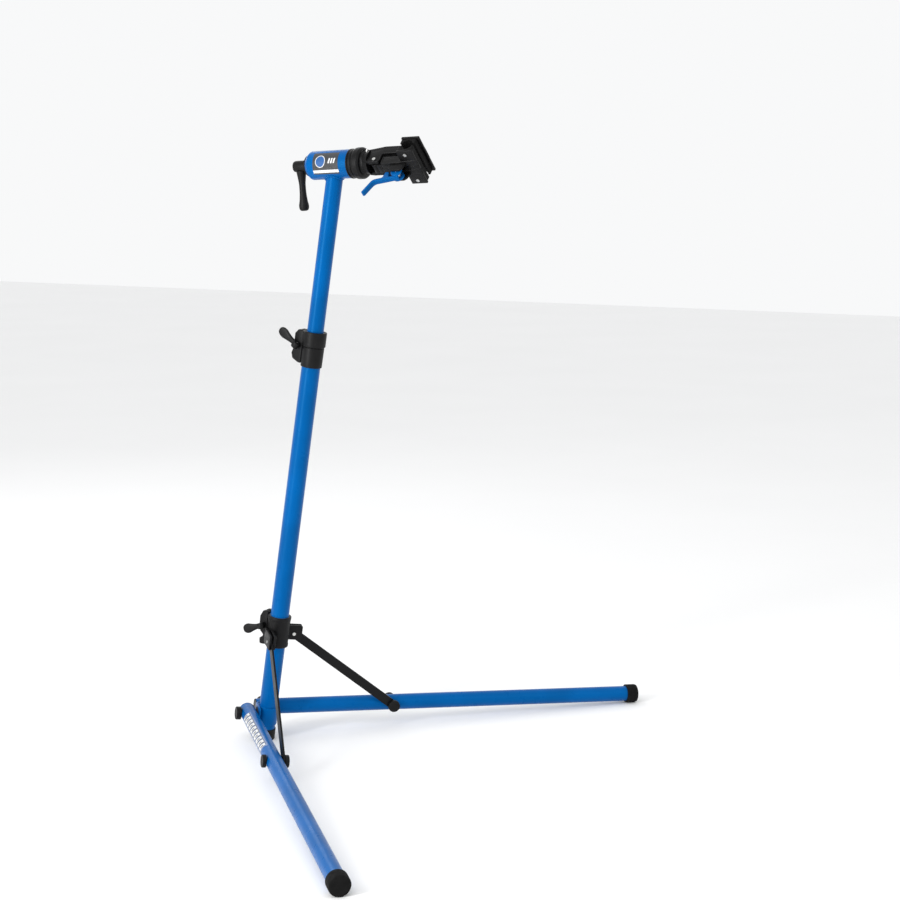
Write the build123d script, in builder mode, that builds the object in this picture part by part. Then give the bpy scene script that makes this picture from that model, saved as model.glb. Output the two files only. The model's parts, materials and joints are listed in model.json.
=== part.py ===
"""Folding bicycle repair stand.

A leaning two-piece post stands on its own foot and on two folding legs.  A sliding collar
and two flat braces hold the legs open.  The upper post slides in the lower one and carries
a welded sleeve, in which a clamp with a cam lever turns about a nearly level axis.

Millimetres, +Z up.  The origin is where the post's centre line meets the floor.  The post
leans towards +X, and one leg goes out on each side of +X.
"""
import os
from math import asin, atan2, cos, degrees, hypot, radians, sin

from build123d import *

os.makedirs("parts", exist_ok=True)

# ---------------------------------------------------------------- driving dimensions
lean = radians(9.0)              # post, from vertical towards +X
lower_r, lower_bore = 21.75, 19.75
upper_r, upper_bore = 19.05, 17.05
leg_r, leg_bore = 19.05, 17.45
running = 0.08                   # radial running fit of plastic on tube
gap = 0.35                       # clearance between parts that pass each other

lower_bottom, lower_top = 12.0, 970.0
foot_cap_r, foot_cap_top = 24.0, 31.0
upper_bottom = 700.0
head_s = 1383.0                  # along the post, where the clamp axis crosses it
head_tilt = radians(2.5)         # clamp axis, above level
clamp_roll = radians(45.0)       # jaws, about the clamp axis

leg_azimuth = radians(45.0)      # each leg's plane, from the post's forward direction
leg_offset = 46.0                # leg centre line, beside the post's
hinge_s = 64.6
leg_length = 972.5               # hinge to the end of the foot
leg_rear = 21.0                  # tube behind the hinge
leg_foot_r, leg_foot_length = 23.0, 30.0
leg_foot_flat = 0.6              # depth of the worn flat under each leg foot
stud_r, spacer_r = 5.0, 8.0
pivot_cap_r = 15.5

brace_hole = 319.0               # brace bolt, from the leg hinge
collar_pivot_q = 44.0            # brace pivot on the collar, out from the post's centre line
collar_pivot_s = 264.0
brace_width, brace_inner, brace_outer = 22.0, 21.9, 26.3
brace_cap_r = 14.5
brace_pin_r = 4.0

collar_bottom, collar_top, collar_r = 241.0, 315.0, 28.0
liner_r = 24.0
clip_bottom, clip_seam, clip_top = 920.0, 968.0, 1002.0
clip_lower_r, clip_upper_r = 25.2, 27.2
ear_overhang = 8.0               # ears may pass a collar's ends by less than this
slit = 3.0
edge_break, seam_width = 1.3, 3.0
ear_half = 13.0
bolt_x = -35.0

sleeve_r, sleeve_bore, end_cap_r = 32.0, 29.0, 23.5
sleeve_rear, sleeve_front = -69.0, 43.0
spindle_r = 12.5
flange_r = 35.0
flange_rear, flange_front = 46.3, 76.0

jaw_pivot_t, jaw_pivot_y = 112.0, -12.0
rod_t, rod_r = 174.0, 4.0
tube_t, tube_r = 202.0, 13.6     # the clamped seat post
pad_half_width, pad_half_length = 18.0, 48.0
pad_edge, pad_back = 3.2, 17.0   # pad face edges and back, from the seat post's centre
jaw_back = 22.5
beam_inner, beam_outer, beam_half = 5.5, 27.0, 21.0
cam_y, cam_r = -41.0, 13.0
cheek = 12.2                     # half width of the fork that holds the moving jaw


# ---------------------------------------------------------------- frames
post = Plane(
    origin=(0, 0, 0), x_dir=(cos(lean), 0, -sin(lean)), z_dir=(sin(lean), 0, cos(lean))
)
head_axis = Vector(cos(head_tilt), 0, sin(head_tilt))
head_centre = post.from_local_coords(Vector(0, 0, head_s))
head = Plane(origin=head_centre, x_dir=(0, 1, 0), z_dir=head_axis)
jaw_up = head.y_dir * cos(clamp_roll) - head.x_dir * sin(clamp_roll)
jaws = Plane(origin=head_centre, x_dir=head_axis, z_dir=jaw_up)


def on_post(x, y, s):
    """Point given across and along the post."""
    return post.from_local_coords(Vector(x, y, s))


def post_plane(x, y, s, x_dir, z_dir):
    """Plane at a point of the post's frame, with directions given in that frame."""
    start = on_post(x, y, s)
    return Plane(
        origin=start,
        x_dir=on_post(*x_dir) - on_post(0, 0, 0),
        z_dir=on_post(*z_dir) - on_post(0, 0, 0),
    )


def leg_plane(side):
    """Plane in which a leg folds: x out from the post, y up along it, at the hinge.

    side is -1 for the near leg and 1 for the far leg.  The plane's z points away from the
    post for the near leg and towards it for the far leg, so that y points up on both.
    """
    out = (-sin(leg_azimuth), side * cos(leg_azimuth), 0)
    along = (cos(leg_azimuth), side * sin(leg_azimuth), 0)
    normal = tuple(-side * value for value in out)
    return post_plane(0, 0, hinge_s, along, normal)


# A leg's slope within its plane, so that the foot's underside meets the floor.
hinge_height = hinge_s * cos(lean) + leg_offset * sin(leg_azimuth) * sin(lean)
level_fall = sin(lean) * cos(leg_azimuth)
leg_rise = atan2(level_fall, cos(lean)) + asin(
    (leg_foot_r - leg_foot_flat - hinge_height) / (leg_length * hypot(level_fall, cos(lean)))
)


def leg_frame(side, distance=0.0):
    """Plane across a leg, at a distance from its hinge; z runs along the leg to its foot."""
    fold = leg_plane(side)
    direction = fold.x_dir * cos(leg_rise) + fold.y_dir * sin(leg_rise)
    away = fold.z_dir * -side
    origin = fold.origin + away * leg_offset + direction * distance
    return Plane(origin=origin, x_dir=away, z_dir=direction)


def across_leg(side, x, y, lateral):
    """Plane square to the fold plane at (x, y) from the hinge, that far out from the post."""
    fold = leg_plane(side)
    away = fold.z_dir * -side
    origin = fold.from_local_coords(Vector(x, y, 0)) + away * lateral
    return Plane(origin=origin, x_dir=fold.x_dir, z_dir=away)


def save(part, name):
    part.label = name
    export_step(part, f"parts/{name}.step")


def ring(plane, outer, inner, start, end):
    """Round sleeve along a plane's normal; inner may be zero for a solid rod."""
    with BuildPart() as made:
        with BuildSketch(plane.offset(start)):
            Circle(outer)
            if inner:
                Circle(inner, mode=Mode.SUBTRACT)
        extrude(amount=end - start)
    return made.part


def turned(plane, points, chamfer_length=0.0):
    """Solid of revolution about a plane's normal, from (radius, height) points."""
    side_view = Plane(origin=plane.origin, x_dir=plane.x_dir, z_dir=-plane.y_dir)
    with BuildPart() as made:
        with BuildSketch(side_view):
            with BuildLine():
                Polyline(*points, close=True)
            make_face()
        revolve(axis=Axis(plane.origin, plane.z_dir))
        if chamfer_length:
            chamfer(made.edges().filter_by(GeomType.CIRCLE), length=chamfer_length)
    return made.part


# ---------------------------------------------------------------- lower post
with BuildPart() as lower_tube:
    with BuildSketch(post.offset(lower_bottom)):
        Circle(lower_r)
        Circle(lower_bore, mode=Mode.SUBTRACT)
    extrude(amount=lower_top - lower_bottom)
save(lower_tube.part, "lower_tube")

with BuildPart() as post_foot_cap:
    with BuildSketch(post.offset(-foot_cap_r * sin(lean) - 1)):
        Circle(foot_cap_r)
    extrude(amount=foot_cap_top + foot_cap_r * sin(lean) + 1)
    fillet(post_foot_cap.edges().group_by(Axis.Z)[-1], radius=1.5)
    with BuildSketch(post.offset(lower_bottom)):
        Circle(lower_r)
    extrude(amount=foot_cap_top, mode=Mode.SUBTRACT)
    split(bisect_by=Plane.XY, keep=Keep.TOP)
save(post_foot_cap.part, "post_foot_cap")

# A bent saddle: a sleeve round the post with a flat cheek for each leg.
saddle_half_height = 22.0
saddle_half_width = 24.0
with BuildPart() as leg_bracket:
    with BuildSketch(post.offset(hinge_s - saddle_half_height)):
        Circle(lower_r + 2.6)
    extrude(amount=2 * saddle_half_height)
    for side in (-1, 1):
        with BuildSketch(across_leg(side, 0, 0, lower_r)):
            RectangleRounded(2 * saddle_half_width, 2 * saddle_half_height, 6)
        extrude(amount=brace_outer - lower_r)
    with BuildSketch(post.offset(hinge_s - saddle_half_height)):
        Circle(lower_r)
    extrude(amount=2 * saddle_half_height, mode=Mode.SUBTRACT)
    for side in (-1, 1):
        with BuildSketch(across_leg(side, 0, 0, lower_r + 0.5)):
            Circle(stud_r)
        extrude(amount=leg_r, mode=Mode.SUBTRACT)
save(leg_bracket.part, "leg_bracket")

stud_end = leg_offset + leg_r + 9.0
with BuildPart() as leg_pivot_studs:
    for side in (-1, 1):
        with BuildSketch(across_leg(side, 0, 0, lower_r + 0.5)):
            Circle(stud_r)
        extrude(amount=stud_end - lower_r - 0.5)
save(leg_pivot_studs.part, "leg_pivot_studs")

cap_start = leg_offset + leg_r + gap
with BuildPart() as leg_pivot_caps:
    for side in (-1, 1):
        with BuildSketch(across_leg(side, 0, 0, cap_start)):
            Circle(pivot_cap_r)
        extrude(amount=12)
    fillet(leg_pivot_caps.faces().filter_by(GeomType.PLANE).edges(), radius=2.0)
    for side in (-1, 1):
        with BuildSketch(across_leg(side, 0, 0, cap_start)):
            Circle(stud_r)
        extrude(amount=stud_end - cap_start, mode=Mode.SUBTRACT)
save(leg_pivot_caps.part, "leg_pivot_caps")

with BuildPart() as leg_pivot_washers:
    for side in (-1, 1):
        with BuildSketch(across_leg(side, 0, 0, brace_outer)):
            Circle(leg_r - 2)
            Circle(stud_r, mode=Mode.SUBTRACT)
        extrude(amount=0.4)
save(leg_pivot_washers.part, "leg_pivot_washers")


# ---------------------------------------------------------------- height clamp
ear_view = post_plane(0, 0, 0, (1, 0, 0), (0, -1, 0))    # x across, y along the post


def ear_block(outline):
    """Pair of ears behind a collar, still joined, from an outline in side view."""
    with BuildPart() as made:
        with BuildSketch(ear_view):
            with BuildLine():
                Polyline(*outline, close=True)
            make_face()
        extrude(amount=ear_half, both=True)
        fillet(made.edges().filter_by(Axis.Y), radius=3.5)
    return made.part


def bolt_plane(s, y):
    """Plane square to the clamp bolt of a collar, at a height s and a place y along it."""
    return post_plane(bolt_x, y, s, (1, 0, 0), (0, 1, 0))


height_bolt_s = 966.0
height_ears = ear_block(
    [
        (-20, 924), (-31, 925), (-46, 932), (-50, 944), (-46, 958), (-41, 966), (-46, 976),
        (-46, 991), (-38, 1001), (-20, 1001),
    ]
)
height_body = turned(
    post,
    [
        (0, clip_bottom), (clip_lower_r - edge_break, clip_bottom),
        (clip_lower_r, clip_bottom + edge_break), (clip_lower_r, clip_seam - seam_width),
        (clip_lower_r - edge_break, clip_seam), (clip_upper_r, clip_seam + edge_break),
        (clip_upper_r, clip_top - edge_break), (clip_upper_r - edge_break, clip_top), (0, clip_top),
    ],
)
with BuildPart() as height_collar:
    add(height_body)
    add(height_ears)
    with BuildSketch(post.offset(clip_bottom)):
        Circle(lower_r)
    extrude(amount=lower_top - clip_bottom, mode=Mode.SUBTRACT)
    with BuildSketch(post.offset(lower_top)):
        Circle(lower_r)
    extrude(amount=clip_top - lower_top, mode=Mode.SUBTRACT)
    with BuildSketch(ear_view):
        with Locations((-38, (clip_bottom + clip_top) / 2)):
            Rectangle(40, 2 * clip_top)
    extrude(amount=slit / 2, both=True, mode=Mode.SUBTRACT)
    with BuildSketch(bolt_plane(height_bolt_s, -ear_half)):
        Circle(3.0)
    extrude(amount=2 * ear_half, mode=Mode.SUBTRACT)
save(height_collar.part, "height_collar")

with BuildPart() as height_bushing:
    with BuildSketch(post.offset(lower_top)):
        Circle(lower_r)
        Circle(upper_r + running, mode=Mode.SUBTRACT)
    extrude(amount=clip_top - lower_top - 1)
    with BuildSketch(post.offset(lower_top - 60)):
        Circle(lower_bore)
        Circle(upper_r + running, mode=Mode.SUBTRACT)
    extrude(amount=60)
save(height_bushing.part, "height_bushing")

lever_pivot_y = -22.0            # cam pins, in front of the ears
cam_radius, cam_half = 8.5, 7.0


def clamp_bolt(s, name):
    """Bolt of a collar, from its cam barrel through both ears to a dome nut."""
    with BuildPart() as made:
        with BuildSketch(bolt_plane(s, lever_pivot_y)):
            Circle(3.0)
        extrude(amount=ear_half - lever_pivot_y + 1)
        with BuildSketch(bolt_plane(s, ear_half)):
            RegularPolygon(6.5, 6)
        extrude(amount=5)
        chamfer(made.faces().sort_by(Axis.Y)[-1].edges(), length=0.8)
    save(made.part, name)


clamp_bolt(height_bolt_s, "height_clamp_bolt")


def paddle(s, rise, length, half_width, name):
    """Cam lever of a collar: round cam on its pin, waist, and an oval paddle.

    The lever turns about an axis square to its own length and to the clamp bolt, and the
    cam is cut away for every place that the bolt takes as it opens.
    """
    reach = (-cos(rise), 0, sin(rise))
    pin = (sin(rise), 0, cos(rise))
    frame = post_plane(bolt_x, lever_pivot_y, s, reach, pin)
    side_view = [(0, 0.5), (22, 4.5), (length, 6), (length, -1), (22, -3), (0, -7)]
    with BuildPart() as made:
        with BuildSketch(frame):
            Circle(cam_radius)
        extrude(amount=cam_half, both=True)
        with BuildSketch(frame):
            with BuildLine():
                Polyline(*side_view, close=True)
            make_face()
        extrude(amount=half_width, both=True)
        top_view = Plane(origin=frame.origin, x_dir=frame.x_dir, z_dir=frame.y_dir)
        with BuildSketch(top_view.offset(-12)):
            with Locations((length / 2 - 12, 0)):
                Rectangle(length, 2 * cam_half)
            with Locations((length - 22, 0)):
                Ellipse(22, half_width)
        extrude(amount=30, mode=Mode.INTERSECT)
        with BuildSketch(frame):
            Circle(2.5)
        extrude(amount=2 * cam_half, both=True, mode=Mode.SUBTRACT)
        with BuildSketch(frame):
            with Locations((-5.5, -5)):
                Rectangle(20, 19.4)
        extrude(amount=4, both=True, mode=Mode.SUBTRACT)
    save(made.part, name)
    return frame


def cam_pin(frame, name):
    with BuildPart() as made:
        with BuildSketch(frame.offset(-7)):
            Circle(2.4)
        extrude(amount=14)
        with BuildSketch(frame.offset(-3.4)):
            Circle(4.2)
        extrude(amount=6.8)
        bolt_side = Plane(origin=frame.origin, x_dir=frame.x_dir, z_dir=-frame.y_dir)
        with BuildSketch(bolt_side):
            Circle(3.0)
        extrude(amount=5, mode=Mode.SUBTRACT)
    save(made.part, name)


height_frame = paddle(height_bolt_s, radians(33), 54, 11.5, "height_lever")
cam_pin(height_frame, "height_cam_pin")


# ---------------------------------------------------------------- upper post and head
sleeve_void = ring(head, sleeve_r, 0, sleeve_rear - 10, sleeve_front + 10)
with BuildPart() as upper_tube:
    with BuildSketch(post.offset(upper_bottom)):
        Circle(upper_r)
        Circle(upper_bore, mode=Mode.SUBTRACT)
    extrude(amount=head_s - upper_bottom)
    add(sleeve_void, mode=Mode.SUBTRACT)
save(upper_tube.part, "upper_tube")

with BuildPart() as mast_guide:
    with BuildSketch(post.offset(upper_bottom - 6)):
        Circle(lower_bore - running)
    extrude(amount=6)
    with BuildSketch(post.offset(upper_bottom)):
        Circle(upper_bore)
    extrude(amount=25)
save(mast_guide.part, "mast_guide")

head_sleeve = turned(
    head,
    [
        (sleeve_r, sleeve_front), (sleeve_r, sleeve_rear + 9), (sleeve_r - 8, sleeve_rear),
        (spindle_r + 0.5, sleeve_rear), (spindle_r + 0.5, sleeve_rear + 3),
        (sleeve_bore - 7, sleeve_rear + 3), (sleeve_bore, sleeve_rear + 11),
        (sleeve_bore, sleeve_front),
    ],
)
save(head_sleeve, "head_sleeve")

save(ring(head, end_cap_r, spindle_r + running, sleeve_rear - 6, sleeve_rear), "sleeve_end_cap")
save(ring(head, sleeve_bore, spindle_r + running, sleeve_rear + 12, sleeve_rear + 30), "rear_bearing")
save(ring(head, sleeve_bore, spindle_r + running, sleeve_front - 20, sleeve_front), "front_bearing")
save(ring(head, sleeve_r + 1, spindle_r + 0.5, sleeve_front, flange_rear - gap), "friction_ring")

label_start, label_end = -43.0, 23.0
with BuildPart() as head_label:
    with BuildSketch(head.offset(label_start)):
        Circle(sleeve_r + 0.35)
        Circle(sleeve_r, mode=Mode.SUBTRACT)
        with BuildLine():
            Polyline((0, 0), (-60, 80), (-90, 0), (-60, -50), close=True)
        make_face(mode=Mode.INTERSECT)
    extrude(amount=label_end - label_start)
save(head_label.part, "head_label")


# ---------------------------------------------------------------- clamp: turning parts
spindle = turned(
    head,
    [
        (0, -105), (8, -105), (10, -103), (10, sleeve_rear - 6), (spindle_r, sleeve_rear - 6),
        (spindle_r, flange_front), (0, flange_front),
    ],
)
save(spindle, "clamp_spindle")

flange = turned(
    head,
    [
        (spindle_r, flange_rear), (flange_r - 3.5, flange_rear), (flange_r - 2.5, flange_rear + 1),
        (flange_r - 2.5, 54), (flange_r - 4, 55), (flange_r - 4, 56.5), (flange_r - 1, 57.5),
        (flange_r, 59), (flange_r, 72), (flange_r - 3, flange_front), (spindle_r, flange_front),
    ],
)
save(flange, "clamp_flange")


def jaw_prism(points, half_width, radius):
    """Solid from an outline in the jaws' side view, rounded along its length."""
    with BuildPart() as made:
        with BuildSketch(jaws):
            with BuildLine():
                Polyline(*points, close=True)
            make_face()
        extrude(amount=half_width, both=True)
        if radius:
            fillet(made.edges().filter_by(Axis((0, 0, 0), jaw_up)), radius=radius)
    return made.part


def jaw_cut(t, y, width, height, half_width):
    with BuildPart() as made:
        with BuildSketch(jaws):
            with Locations((t, y)):
                Rectangle(width, height)
        extrude(amount=half_width, both=True)
    return made.part


jaw_across = Plane(origin=head_centre, x_dir=head_axis, z_dir=jaws.y_dir)
screw_r, screw_length = 4.5, 9.0
screw_seat = Plane(
    origin=head.from_local_coords(Vector(0, 20, 82)), x_dir=head_axis, z_dir=head.y_dir
)
beam_root, head_front = 82.0, tube_t + 24
fixed_body = jaw_prism(
    [
        (beam_root, -17), (100, -20), (124, -20), (127, -14), (127, beam_inner),
        (182, beam_inner), (182, pad_back), (head_front, pad_back), (head_front, jaw_back),
        (190, jaw_back + 2), (176, beam_outer), (128, beam_outer), (beam_root, 18),
    ],
    beam_half, 2.0,
)
fixed_plate = jaw_prism(
    [(182, pad_back), (head_front, pad_back), (head_front, jaw_back), (182, jaw_back)],
    pad_half_length + 2, 1.5,
)
neck = turned(
    head,
    [(0, flange_front), (26.5, flange_front), (25, 79), (25, 84), (26.5, 93), (0, 93)],
)
with BuildPart() as clamp_arm:
    add(neck)
    add(fixed_body)
    add(fixed_plate)
    add(jaw_cut(118, -15, 50, 30, cheek), mode=Mode.SUBTRACT)
    with BuildSketch(jaw_across):
        with Locations((rod_t, 0)):
            Circle(rod_r + running)
    extrude(amount=beam_outer + 5, mode=Mode.SUBTRACT)
    with BuildSketch(screw_seat):
        Circle(screw_r)
    extrude(amount=screw_length, mode=Mode.SUBTRACT)
    with BuildSketch(jaws):
        with Locations((jaw_pivot_t, jaw_pivot_y)):
            Circle(4.0)
    extrude(amount=beam_half, both=True, mode=Mode.SUBTRACT)
save(clamp_arm.part, "clamp_arm")

with BuildPart() as jaw_pivot_pin:
    with BuildSketch(jaws.offset(-beam_half - 1.5)):
        with Locations((jaw_pivot_t, jaw_pivot_y)):
            Circle(4.0)
    extrude(amount=2 * beam_half + 3)
save(jaw_pivot_pin.part, "jaw_pivot_pin")

moving_body = jaw_prism(
    [
        (133, -beam_inner), (176, -beam_inner), (182, -pad_back), (222, -pad_back),
        (222, -jaw_back), (190, -jaw_back - 2), (178, -beam_outer), (133, -beam_outer),
    ],
    beam_half, 1.5,
)
moving_plate = jaw_prism(
    [(183, -pad_back), (222, -pad_back), (222, -jaw_back), (183, -jaw_back)],
    pad_half_length + 1, 1.5,
)
hood_inner, hood_outer = 12.0, 17.0      # walls beside the cam, from the jaws' middle
with BuildPart() as moving_jaw:
    add(moving_body)
    add(moving_plate)
    for start in (hood_inner, -hood_outer):
        with BuildSketch(jaws.offset(start)):
            with BuildLine():
                Polyline(
                    (154, -24), (158, -40), (164, -45), (185, -45), (191, -40), (196, -22),
                    close=True,
                )
            make_face()
        extrude(amount=hood_outer - hood_inner)
    with BuildSketch(jaws):
        with Locations((jaw_pivot_t, jaw_pivot_y)):
            Circle(11)
        with BuildLine():
            Polyline((jaw_pivot_t, -1), (136, -beam_inner), (136, -23), (jaw_pivot_t, -23), close=True)
        make_face()
    extrude(amount=cheek - gap, both=True)
    with BuildSketch(jaws):
        with Locations((jaw_pivot_t, jaw_pivot_y)):
            Circle(4.0 + running)
    extrude(amount=beam_half, both=True, mode=Mode.SUBTRACT)
    add(jaw_cut(178, -20, 19, 34, rod_r + 0.7), mode=Mode.SUBTRACT)
save(moving_jaw.part, "moving_jaw")


def pad(side, name):
    """Rubber pad with a round groove for the seat post; side 1 is the fixed jaw."""
    with BuildPart() as made:
        with BuildSketch(jaws):
            with Locations((tube_t, side * (pad_edge + pad_back) / 2)):
                RectangleRounded(2 * pad_half_width, pad_back - pad_edge, 1.5)
        extrude(amount=pad_half_length, both=True)
        with BuildSketch(jaws):
            with Locations((tube_t, 0)):
                Circle(tube_r)
        extrude(amount=pad_half_length, both=True, mode=Mode.SUBTRACT)
    save(made.part, name)


pad(1, "fixed_pad")
pad(-1, "moving_pad")


def pad_screws(side, name):
    """Two countersunk screws that hold a pad to its jaw."""
    with BuildPart() as made:
        for place in (-38, 38):
            start = jaw_across.offset(side * jaw_back)
            with BuildSketch(start):
                with Locations((tube_t, -place)):
                    Circle(4.0)
            extrude(amount=side * 1.8)
    save(made.part, name)


pad_screws(1, "fixed_pad_screws")
pad_screws(-1, "moving_pad_screws")

rod_end = 70.0
eye_half = 4.8
with BuildPart() as draw_rod:
    with BuildSketch(jaw_across.offset(cam_y + 5)):
        with Locations((rod_t, 0)):
            Circle(rod_r)
    extrude(amount=rod_end - cam_y - 5)
    with BuildSketch(jaws):
        with Locations((rod_t, cam_y)):
            Circle(6.5)
    extrude(amount=eye_half, both=True)
save(draw_rod.part, "draw_rod")

with BuildPart() as lever_pin:
    with BuildSketch(jaws):
        with Locations((rod_t, cam_y)):
            Circle(3.0)
    extrude(amount=11.5, both=True)
    with BuildSketch(jaws):
        with Locations((rod_t, cam_y)):
            Circle(6.5)
    extrude(amount=eye_half, both=True, mode=Mode.SUBTRACT)
save(lever_pin.part, "cam_lever_pin")

cam_half_width, handle_half_width = 10.0, 6.0
with BuildPart() as cam_lever:
    with BuildSketch(jaws):
        with Locations((rod_t, cam_y)):
            Circle(cam_r)
    extrude(amount=cam_half_width, both=True)
    with BuildSketch(jaws):
        with BuildLine():
            Polyline(
                (181, -47.5), (157, -52), (154, -37), (144, -38), (142, -54), (119, -59),
                (104, -97), (110.5, -99.5), (124, -65.5), (181, -53.8), close=True,
            )
        make_face()
    extrude(amount=handle_half_width, both=True)
    with BuildSketch(jaws):
        with Locations((rod_t, cam_y)):
            Circle(3.0 + running)
    extrude(amount=12, both=True, mode=Mode.SUBTRACT)
    with BuildSketch(jaws):
        with Locations((rod_t + 2, cam_y + 4)):
            Rectangle(26, 24)
    extrude(amount=eye_half + gap, both=True, mode=Mode.SUBTRACT)
save(cam_lever.part, "cam_lever")

with BuildPart() as adjusting_knob:
    with BuildSketch(jaw_across.offset(beam_outer + gap)):
        with Locations((rod_t, 0)):
            Circle(18)
        with Locations((rod_t, 0)):
            with PolarLocations(20, 8):
                Circle(3.6, mode=Mode.SUBTRACT)
    extrude(amount=14)
    with BuildSketch(jaw_across.offset(beam_outer + gap + 14)):
        with Locations((rod_t, 0)):
            Circle(9)
    extrude(amount=5)
    with BuildSketch(jaw_across.offset(beam_outer)):
        with Locations((rod_t, 0)):
            Circle(rod_r + running)
    extrude(amount=30, mode=Mode.SUBTRACT)
save(adjusting_knob.part, "adjusting_knob")

with BuildPart() as jaw_spring:
    with BuildSketch(jaw_across.offset(-beam_inner + gap)):
        with Locations((rod_t, 0)):
            Circle(7.5)
            Circle(5.2, mode=Mode.SUBTRACT)
    extrude(amount=2 * beam_inner - gap)
save(jaw_spring.part, "jaw_spring")

with BuildPart() as arm_screw:
    with BuildSketch(screw_seat):
        Circle(screw_r)
    extrude(amount=screw_length)
    with BuildSketch(screw_seat.offset(screw_length)):
        RegularPolygon(2.6, 6)
    extrude(amount=-3, mode=Mode.SUBTRACT)
save(arm_screw.part, "arm_set_screw")


# ---------------------------------------------------------------- crank
crank_t, crank_swing, crank_reach = -94.5, radians(3.5), 100.0
hub_rear = -107.0
hub = ring(head, 13, 10.02, hub_rear, sleeve_rear - 6 - gap)
crank_down = head.y_dir * -cos(crank_swing) + head.x_dir * sin(crank_swing)
crank_axis = Plane(
    origin=head.from_local_coords(Vector(0, 0, crank_t)), x_dir=head_axis, z_dir=crank_down
)
handle = turned(
    crank_axis,
    [
        (0, 11), (11, 11), (9.5, 24), (7.5, 44), (7.6, 60), (9.5, 79), (11.5, 88), (10.5, 96),
        (6, crank_reach), (0, crank_reach),
    ],
)
with BuildPart() as crank_handle:
    add(hub)
    add(handle)
save(crank_handle.part, "crank_handle")

save(ring(head, 12, 0, hub_rear - 2.5, hub_rear), "crank_end_disc")


# ---------------------------------------------------------------- legs
def leg_parts(side, name):
    """One leg: tube, foot, rear plug, pivot spacer, and the bolt for its brace."""
    with BuildPart() as tube:
        with BuildSketch(leg_frame(side, -leg_rear)):
            Circle(leg_r)
            Circle(leg_bore, mode=Mode.SUBTRACT)
        extrude(amount=leg_length + leg_rear - 4)
        with BuildSketch(across_leg(side, 0, 0, leg_offset - leg_r - 1)):
            Circle(stud_r + running)
        extrude(amount=2 * leg_r + 2, mode=Mode.SUBTRACT)
        hole_x, hole_y = brace_hole * cos(leg_rise), brace_hole * sin(leg_rise)
        with BuildSketch(across_leg(side, hole_x, hole_y, leg_offset - leg_r - 1)):
            Circle(stud_r)
        extrude(amount=2 * leg_r + 2, mode=Mode.SUBTRACT)
    save(tube.part, f"{name}_leg")

    end = leg_frame(side, leg_length)
    with BuildPart() as foot:
        with BuildSketch(end):
            Circle(leg_foot_r)
        extrude(amount=-leg_foot_length)
        for which, radius in ((-1, 5.0), (0, 1.5)):
            ends = foot.faces().filter_by(GeomType.PLANE).sort_by(Axis(end.origin, end.z_dir))
            fillet(ends[which].edges(), radius=radius)
        with BuildSketch(leg_frame(side, leg_length - 4)):
            Circle(leg_r)
        extrude(amount=-leg_foot_length, mode=Mode.SUBTRACT)
        split(bisect_by=Plane.XY, keep=Keep.TOP)
    save(foot.part, f"{name}_leg_foot")

    with BuildPart() as plug:
        with BuildSketch(leg_frame(side, -leg_rear)):
            Circle(leg_r)
        extrude(amount=-2)
        with BuildSketch(leg_frame(side, -leg_rear)):
            Circle(leg_bore)
        extrude(amount=10)
    save(plug.part, f"{name}_leg_plug")

    with BuildPart() as spacer:
        half = (leg_bore**2 - spacer_r**2) ** 0.5
        with BuildSketch(across_leg(side, 0, 0, leg_offset - half)):
            Circle(spacer_r)
            Circle(stud_r + running, mode=Mode.SUBTRACT)
        extrude(amount=2 * half)
    save(spacer.part, f"{name}_leg_spacer")

    with BuildPart() as bolt:
        with BuildSketch(across_leg(side, hole_x, hole_y, brace_outer + gap)):
            Circle(stud_r)
        extrude(amount=leg_offset + leg_r - brace_outer)
        with BuildSketch(across_leg(side, hole_x, hole_y, leg_offset + leg_r)):
            Circle(brace_cap_r)
        extrude(amount=9)
        fillet(bolt.faces().filter_by(GeomType.PLANE).edges().filter_by(
            lambda edge: edge.radius > stud_r), radius=2)
    save(bolt.part, f"{name}_brace_bolt")


leg_parts(-1, "near")
leg_parts(1, "far")

label_from, label_to = 26.0, 240.0
label_plane = leg_frame(-1, label_from)
with BuildPart() as leg_label:
    with BuildSketch(label_plane):
        Circle(leg_r + 0.3)
        Circle(leg_r, mode=Mode.SUBTRACT)
        with BuildLine():
            Polyline((0, 0), (60, -44), (60, 17), close=True)
        make_face(mode=Mode.INTERSECT)
    extrude(amount=label_to - label_from)
save(leg_label.part, "leg_label")


# ---------------------------------------------------------------- braces and sliding collar
pivot_x, pivot_y = collar_pivot_q, collar_pivot_s - hinge_s
lower_x, lower_y = brace_hole * cos(leg_rise), brace_hole * sin(leg_rise)
brace_length = hypot(lower_x - pivot_x, lower_y - pivot_y)
brace_angle = atan2(lower_y - pivot_y, lower_x - pivot_x)


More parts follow.
